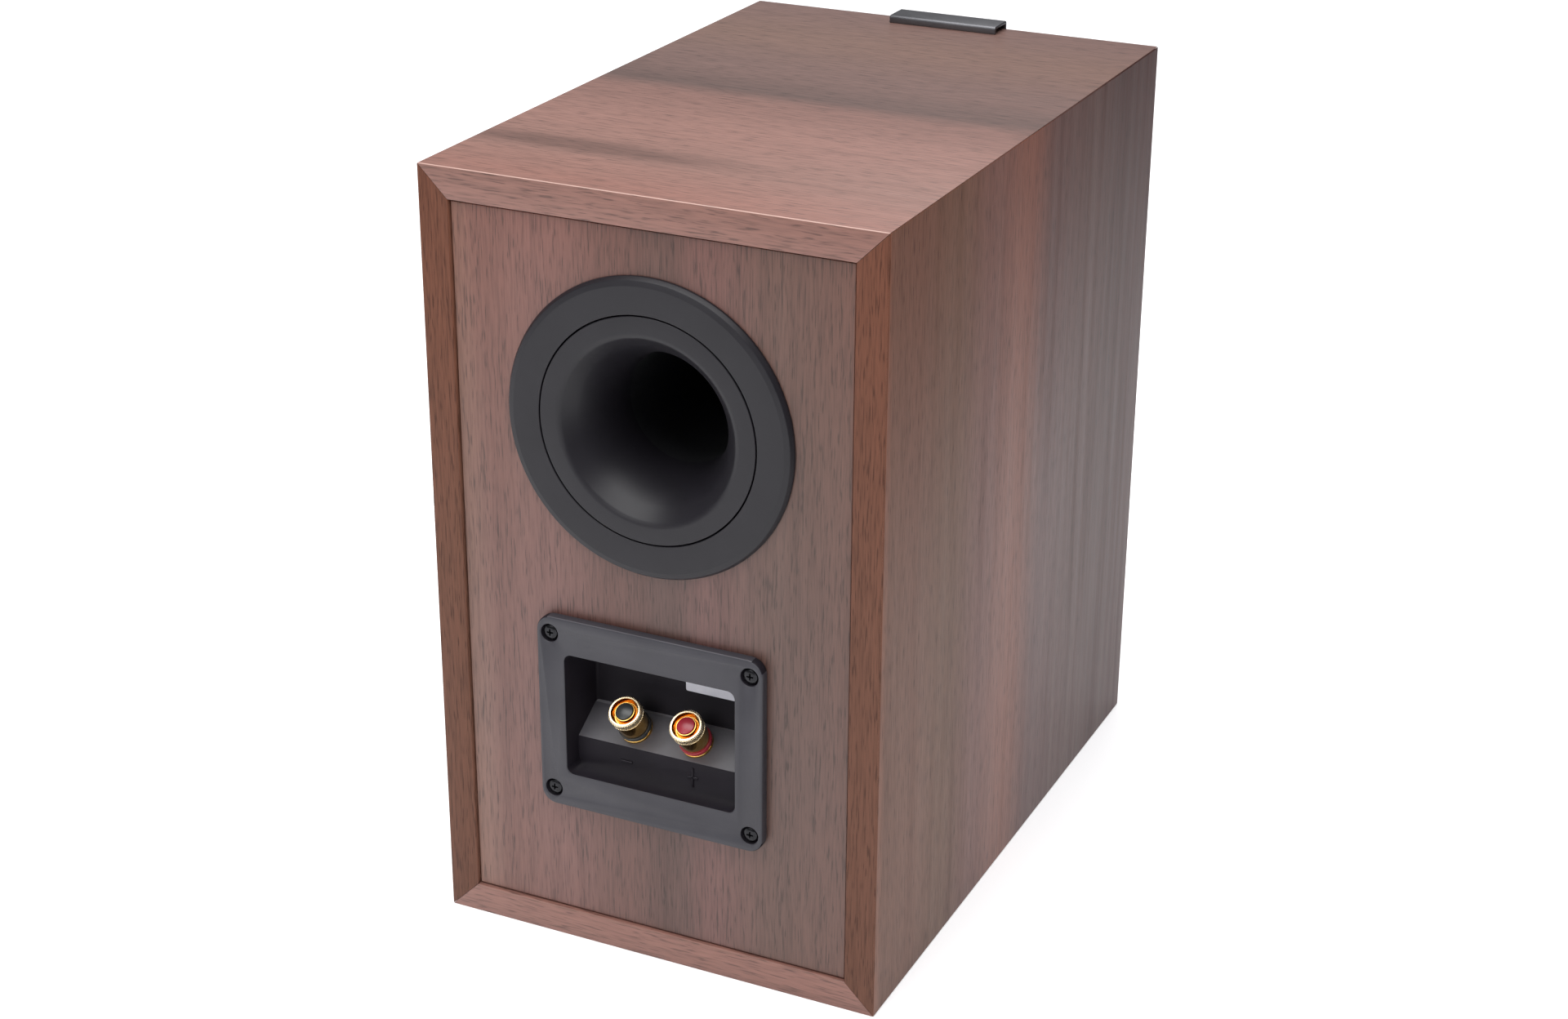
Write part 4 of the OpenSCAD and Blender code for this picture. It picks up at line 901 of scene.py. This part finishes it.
post = {
    "flangeR": 6.3, "flange": 1.2, "ringLow": 1.5, "ringHigh": 3.3, "bore": 3.06, "base": 3.6, "top": 15.0,
    "barrel": 6.0, "rim": 6.5, "rimLow": 11.9, "groove": 3.0, "headR": 3.4, "seat": 12.8, "studR": 3.0,
    "socket": 2.0, "socketDepth": 9.0, "tail": 11.0, "teeth": 58, "toothDepth": 0.28, "crossHole": 1.4,
    "domeR": 10.0, "domeRise": 0.6, "plugPlay": 0.06,
}
postSides = {"positive": (redCap, "red_plastic"), "negative": (blackCap, "black_plastic")}
for side, (capMaterial, capSlot) in postSides.items():
    base = posts[side]
    studTop = post["seat"] - 0.6
    stud = lathe(side + "_stud.turned", rounded([
        (0, studTop - post["socketDepth"], 0), (post["socket"], studTop - post["socketDepth"], 0),
        (post["socket"], studTop, 0.25), (post["studR"], studTop, 0.3), (post["studR"], post["flange"], 0.1),
        (post["flangeR"], post["flange"], 0.35), (post["flangeR"], 0, 0), (post["studR"], 0, 0),
        (post["studR"], -post["tail"], 0.3), (0, -post["tail"], 0)]), base, postAxis, 96)
    sideAxis = Vector((1, 0, 0))
    crossHole = plug("hole", post["crossHole"], base + postAxis * (post["base"] + 1.5), sideAxis, -5, 5, 48)
    cutBy(stud, [crossHole])
    finishPiece(stud, "cabinet", goldPlate, "gold_plate", side + "_stud")

    ring = lathe(side + "_clamp_ring.moulding", rounded([
        (post["bore"], post["ringLow"], 0.2), (post["flangeR"], post["ringLow"], 0.35),
        (post["flangeR"], post["ringHigh"], 0.35), (post["bore"], post["ringHigh"], 0.2)]),
        base, postAxis, 96)
    finishPiece(ring, side + "_ring", capMaterial, capSlot, side + "_clamp_ring")

    rimR, rimLow, top, headR = post["rim"], post["rimLow"], post["top"], post["headR"]
    knobOutline = rounded([
        (post["bore"], post["base"], 0.2), (post["barrel"] - 0.1, post["base"], 0.5),
        (post["barrel"], rimLow - 0.9, 0.3), (post["barrel"] - 0.25, rimLow - 0.45, 0.15),
        (rimR, rimLow, 0.2), (rimR, top - 0.45, 0.2), (rimR - 0.45, top, 0.3), (rimR - 1.3, top, 0.25),
        (rimR - 1.6, top - post["groove"], 0.4), (headR + 0.7, top - post["groove"], 0.3),
        (headR + 0.5, top - 0.4, 0.15), (headR + 0.1, top - 0.4, 0.1), (headR + 0.1, post["seat"], 0),
        (post["bore"], post["seat"], 0)], steps=4)
    teeth = {"low": rimLow + 0.1, "high": top - 0.2, "inside": rimR - 0.6, "depth": post["toothDepth"],
             "count": post["teeth"]}
    knob = lathe(side + "_knob.turned", knobOutline, base, postAxis, post["teeth"] * 8, teeth)
    finishPiece(knob, side + "_cap", goldPlate, "gold_plate", side + "_knob", sharp=28)
    knob.data.materials.append(knurledGoldPaintedHighlight)  # the knurled rim is cut, not polished, and its paler colour is a painted highlight
    for polygon in knob.data.polygons:
        fromBase = polygon.center / mm - base
        height = fromBase.dot(postAxis)
        reach = (fromBase - postAxis * height).length
        polygon.material_index = 1 if height > post["rimLow"] and reach > post["rim"] - 1.25 else 0

    domeR, domeTop = post["domeR"], top + post["domeRise"]
    edge = math.asin(headR / domeR)
    dome = [(domeR * math.sin(edge * i / 8), domeTop - domeR * (1 - math.cos(edge * i / 8)))
            for i in range(9)]
    dome[0] = (0, domeTop)
    stem = post["socket"] - post["plugPlay"]
    pluggedAt = studTop - post["socketDepth"] + 2
    capFoot = post["seat"] + 0.05
    capOutline = [(x, y, 0) for x, y in dome[:-1]] + [
        (dome[-1][0], dome[-1][1], 0.35), (headR, capFoot, 0.1), (stem, capFoot, 0), (stem, pluggedAt, 0.4),
        (0, pluggedAt, 0)]
    cap = lathe(side + "_plug.moulding", rounded(capOutline, steps=4), base, postAxis, 96)
    finishPiece(cap, side + "_bung", capMaterial, capSlot, side + "_plug")
print("binding posts are built")


# ---- front baffle ----

baffleLow, baffleHigh = boxOf("front_baffle")
baffleY = baffleLow.y
ringLow, ringHigh = boxOf("woofer_trim_ring")
woofer = {
    "outer": (ringHigh.x - ringLow.x) / 2, "z": (ringLow.z + ringHigh.z) / 2, "rebate": 5.0, "hole": 61.5,
    "gap": 0.3,
}
plateLow, plateHigh = boxOf("tweeter_faceplate")
tweeter = {
    "outer": (plateHigh.x - plateLow.x) / 2, "z": (plateLow.z + plateHigh.z) / 2, "rebate": 4.0, "hole": 37.0,
    "gap": 0.3,
}
wooferCentre = Vector((0, baffleY, woofer["z"]))
tweeterCentre = Vector((0, baffleY, tweeter["z"]))
forward = (0, -1, 0)
baffle = slab("front_baffle.board", panelLow, panelHigh, 0, 0.6, alongY, baffleLow.y, baffleHigh.y)
holes = []
for centre, driver in ((wooferCentre, woofer), (tweeterCentre, tweeter)):
    mouth = driver["outer"] + driver["gap"]
    holes.append(lathe("hole", rounded([
        (0, 2, 0), (mouth + 0.4, 2, 0), (mouth + 0.4, 0, 0), (mouth, -0.4, 0.2),
        (mouth, -driver["rebate"], 0), (driver["hole"], -driver["rebate"], 0), (driver["hole"], -20, 0),
        (0, -20, 0)]), centre, forward, 192))
cutBy(baffle, holes)
baffle.modifiers.new("triangles", "TRIANGULATE")
applied(baffle)
finishPiece(baffle, "cabinet", satinLacquer, "baffle_paint", "front_baffle", sharp=40)


# ---- woofer ----

cone = {
    "flange": -0.5, "ringTop": 2.0, "lip": 0.8, "edge": 50.0, "outer": 52.0, "rollMid": 56.0,
    "roll": 4.0, "neck": -28.45, "coil": 13.0, "depth": 27.0, "thick": 0.9, "cap": 17.0, "capRise": 6.0,
}
trimR = woofer["outer"]
trim = lathe("woofer_trim_ring.moulding", rounded([
    (trimR - 9, cone["flange"], 0), (trimR, cone["flange"], 0), (trimR, cone["ringTop"], 1.5),
    (trimR - 9, cone["ringTop"], 0.8),
    (trimR - 11.2, 0.9, 0.4), (trimR - 11.2, cone["flange"] + 0.8, 0), (trimR - 9, cone["flange"] + 0.8, 0)],
    steps=6), wooferCentre, forward, 192)
finishPiece(trim, "cabinet", trimRubber, "trim_rubber", "woofer_trim_ring")


# a ring built as wedges around a driver's axis, its inner edge at the driver and its outer edge at the fixed frame
def flexRing(node, profile, centre, material, wedges=24, count=192):
    place = Matrix.Translation(centre) @ turnTo(forward)
    perWedge = count // wedges
    size = len(profile)
    for w in range(wedges):
        points = []
        for i in range(perWedge + 1):
            a = 2 * math.pi * (w * perWedge + i) / count
            points += [place @ Vector((r * math.cos(a), r * math.sin(a), h)) for r, h in profile]
        wedge = meshObject(f"{node}.wedge{w:02d}", points, ringFaces(size, perWedge + 1))
        smoothShade(wedge, 40)
        wedge.data.materials.append(material)
        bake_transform(wedge)
        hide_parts(node)


lip = cone["lip"]
mid = (cone["rollMid"], cone["flange"] + lip / 2)
surround = [Vector((cone["edge"], cone["flange"])), Vector((cone["edge"], cone["flange"] + lip))]
surround += arcPoints(mid, cone["roll"] + lip / 2, 174, 6, 16)
surround += [Vector((trimR - 9, cone["flange"] + lip)), Vector((trimR - 9, cone["flange"])),
             Vector((cone["rollMid"] + cone["roll"], cone["flange"]))]
surround += arcPoints(mid, cone["roll"] - lip / 2, 6, 174, 16) + [Vector((cone["outer"], cone["flange"]))]
flexRing("woofer_surround", surround, wooferCentre,
         surroundRubber)

# corrugated suspension behind the cone, glued to a landing in the basket
spiderLow, spiderHigh = boxOf("woofer_spider")
spider = {"waves": 3, "depth": 0.9, "thick": 0.6, "glued": 4.0, "coilGap": 0.3, "steps": 24}
spiderBack = baffleY - spiderHigh.y
spiderOuter = (spiderHigh.x - spiderLow.x) / 2
spiderInner = cone["coil"] + spider["coilGap"]
spiderSpan = spiderOuter - spider["glued"] - spiderInner
spiderWave = []
for i in range(spider["steps"] + 1):
    phase = 2 * math.pi * spider["waves"] * i / spider["steps"]
    spiderWave.append(Vector((spiderInner + spiderSpan * i / spider["steps"],
                              spiderBack + spider["depth"] * (1 - math.cos(phase)))))
lift = Vector((0, spider["thick"]))
spiderEdge = Vector((spiderOuter, spiderBack))
spiderProfile = spiderWave + [spiderEdge, spiderEdge + lift] + [p + lift for p in reversed(spiderWave)]
flexRing("woofer_spider", spiderProfile, wooferCentre,
         spiderCloth, count=96)


# straight-sided near the neck, curving out to the edge
def coneHeight(r):
    u = (r - cone["coil"]) / (cone["edge"] - cone["coil"])
    return cone["neck"] + cone["depth"] * (1.3 * u - 0.3 * u * u)


radii = [cone["coil"] + (cone["edge"] - cone["coil"]) * i / 24 for i in range(25)]
coneFront = cone["flange"] - 0.05
coneProfile = [Vector((r, coneHeight(r))) for r in radii]
coneProfile += [Vector((cone["edge"], coneFront)), Vector((cone["outer"], coneFront)),
                Vector((cone["outer"], coneFront - cone["thick"]))]
coneProfile += [Vector((r, coneHeight(r) - cone["thick"])) for r in reversed(radii)]
coneProfile = [p for i, p in enumerate(coneProfile) if i == 0 or (p - coneProfile[i - 1]).length > 0.01]
conePiece = lathe("woofer_cone.pulp", coneProfile, wooferCentre, forward, 192)
finishPiece(conePiece, "woofer_diaphragm", conePulp, "cone_paper", "woofer_cone")

capR, capRise = cone["cap"], cone["capRise"]
sphere = (capR ** 2 + capRise ** 2) / (2 * capRise)
capHalf = math.degrees(math.asin(capR / sphere))
capCentre = (0, coneHeight(capR) + 0.02 + capRise - sphere)
capProfile = arcPoints(capCentre, sphere, 90, 90 - capHalf, 20)
capProfile.append(Vector((capR - 0.5, coneHeight(capR - 0.5) + 0.02)))
capProfile += arcPoints(capCentre, sphere - 0.8, 92 - capHalf, 90, 20)
capProfile[0].x = capProfile[-1].x = 0
capPiece = lathe("woofer_dust_cap.pulp", capProfile, wooferCentre, forward, 128)
finishPiece(capPiece, "woofer_diaphragm", conePulp, "cone_paper", "woofer_dust_cap")
print("woofer is built")


# ---- tweeter ----

horn = {
    "mouth": 33.0, "throat": 15.2, "depth": 7.0, "bolts": 41.0, "dome": 12.5, "rise": 4.6,
    "sit": -9.3, "headR": 2.9, "former": 12.4,
}
profile = []
for i in range(25):
    a = math.pi / 2 * i / 24
    reach = horn["mouth"] - (horn["mouth"] - horn["throat"]) * math.sin(a)
    profile.append((reach, -horn["depth"] * (1 - math.cos(a)), 0))
backZ = baffleY - boxOf("tweeter_faceplate")[1].y
faceR, spigot, faceBack = tweeter["outer"], tweeter["hole"] - 0.5, -tweeter["rebate"]
profile += [(horn["throat"], backZ, 0), (spigot, backZ, 0), (spigot, faceBack, 0), (faceR, faceBack, 0),
            (faceR, 0, 0.5)]
face = lathe("tweeter_faceplate.moulding", rounded(profile, steps=5), tweeterCentre, forward, 192)
bolts = []
for i in range(4):
    a = math.radians(45 + 90 * i)
    bolts.append(tweeterCentre + Vector((horn["bolts"] * math.cos(a), 0, horn["bolts"] * math.sin(a))))
cutBy(face, [lathe("bore", rounded([
    (0, 1, 0), (3.5, 1, 0), (3.5, 0, 0), (3.2, -0.3, 0), (3.2, -1.9, 0), (1.95, -1.9, 0), (1.95, -5, 0),
    (0, -5, 0)]), place, forward, 48) for place in bolts])
finishPiece(face, "cabinet", faceplatePlastic, "faceplate_plastic", "tweeter_faceplate", sharp=40)

hexScrews = []
for place in bolts:
    head = lathe("screw", rounded([
        (0, -0.35, 0), (2.2, -0.35, 0.4), (horn["headR"], -0.8, 0.4), (horn["headR"], -1.9, 0),
        (1.75, -1.9, 0), (1.75, -14, 0.3), (0, -14, 0)]), place, forward, 64)
    socket = lathe("socket", [(0, 1), (1.45, 1), (1.45, -1.3), (0, -1.5)], place, forward, 6)
    hexScrews.append(cutBy(head, [socket]))
finishPiece(joined("tweeter_screws.set", hexScrews), "cabinet", blackOxide, "screw_black", "tweeter_screws")

sit, domeR, rise = horn["sit"], horn["dome"], horn["rise"]
ball = (domeR ** 2 + rise ** 2) / (2 * rise)
domeHalf = math.degrees(math.asin(domeR / ball))
domeCentre = (0, sit + 0.4 + rise - ball)
silk = arcPoints(domeCentre, ball, 90, 90 - domeHalf, 24) + [Vector((domeR, sit)), Vector((domeR - 0.8, sit))]
silk += arcPoints(domeCentre, ball - 0.5, 93 - domeHalf, 90, 24)
silk[0].x = silk[-1].x = 0
domePiece = lathe("tweeter_dome.silk", silk, tweeterCentre, forward, 128)
formerLow = baffleY - boxOf("tweeter_dome")[1].y
formerR = horn["former"]
formerOutline = [(formerR - 0.3, formerLow), (formerR, formerLow), (formerR, sit), (formerR - 0.3, sit)]
formerTube = lathe("former", formerOutline, tweeterCentre, forward, 128)
domePiece = joined("tweeter_dome.silk", [domePiece, formerTube])
finishPiece(domePiece, "tweeter_diaphragm", domeSilk, "dome_silk", "tweeter_dome")

rollMid, roll = (domeR + 0.5 + horn["throat"]) / 2, (horn["throat"] - domeR - 0.5) / 2
edging = [Vector((domeR + 0.5, sit))] + arcPoints((rollMid, sit + 0.4), roll, 180, 0, 16)
throatR, gluedR = horn["throat"], horn["throat"] + 2
edging += [Vector((throatR, backZ)), Vector((gluedR, backZ)), Vector((gluedR, sit))]
edgePiece = lathe("tweeter_surround.silk", edging, tweeterCentre, forward, 128)
finishPiece(edgePiece, "cabinet", domeSilk, "dome_silk", "tweeter_surround")
print("tweeter is built")


# ---- finishes of the CAD nodes that stay as they are ----

slotMaterials = {
    "walnut_vinyl": sideVinyl, "baffle_paint": satinLacquer, "bare_mdf": bareFibreboard, "felt": felt,
    "clip_metal": clipMetal, "port_plastic": portPlastic, "tube_plastic": tubePlastic,
    "cup_plastic": cupPlastic,
    "gasket_foam": foam, "screw_black": blackOxide, "label_film": labelFilm, "gold_plate": goldPlate,
    "red_plastic": redCap, "black_plastic": blackCap, "steel": zincSteel, "board": boardMask, "nylon": nylon,
    "copper": copper, "film_capacitor": blueFilm, "ceramic": cement, "trim_rubber": trimRubber,
    "basket_aluminium": castAluminium, "surround_rubber": surroundRubber, "cone_paper": conePulp,
    "spider_cloth": spiderCloth, "ferrite": ferrite, "faceplate_plastic": faceplatePlastic,
    "dome_silk": domeSilk, "neodymium": nickel, "wire_pvc": wirePvc,
}
for subpart in frame["record"]["subparts"]:
    node = nodes[subpart["node"]]
    node.data.materials.clear()
    node.data.materials.append(slotMaterials[subpart["material_slot"]])
print("finishes are set")
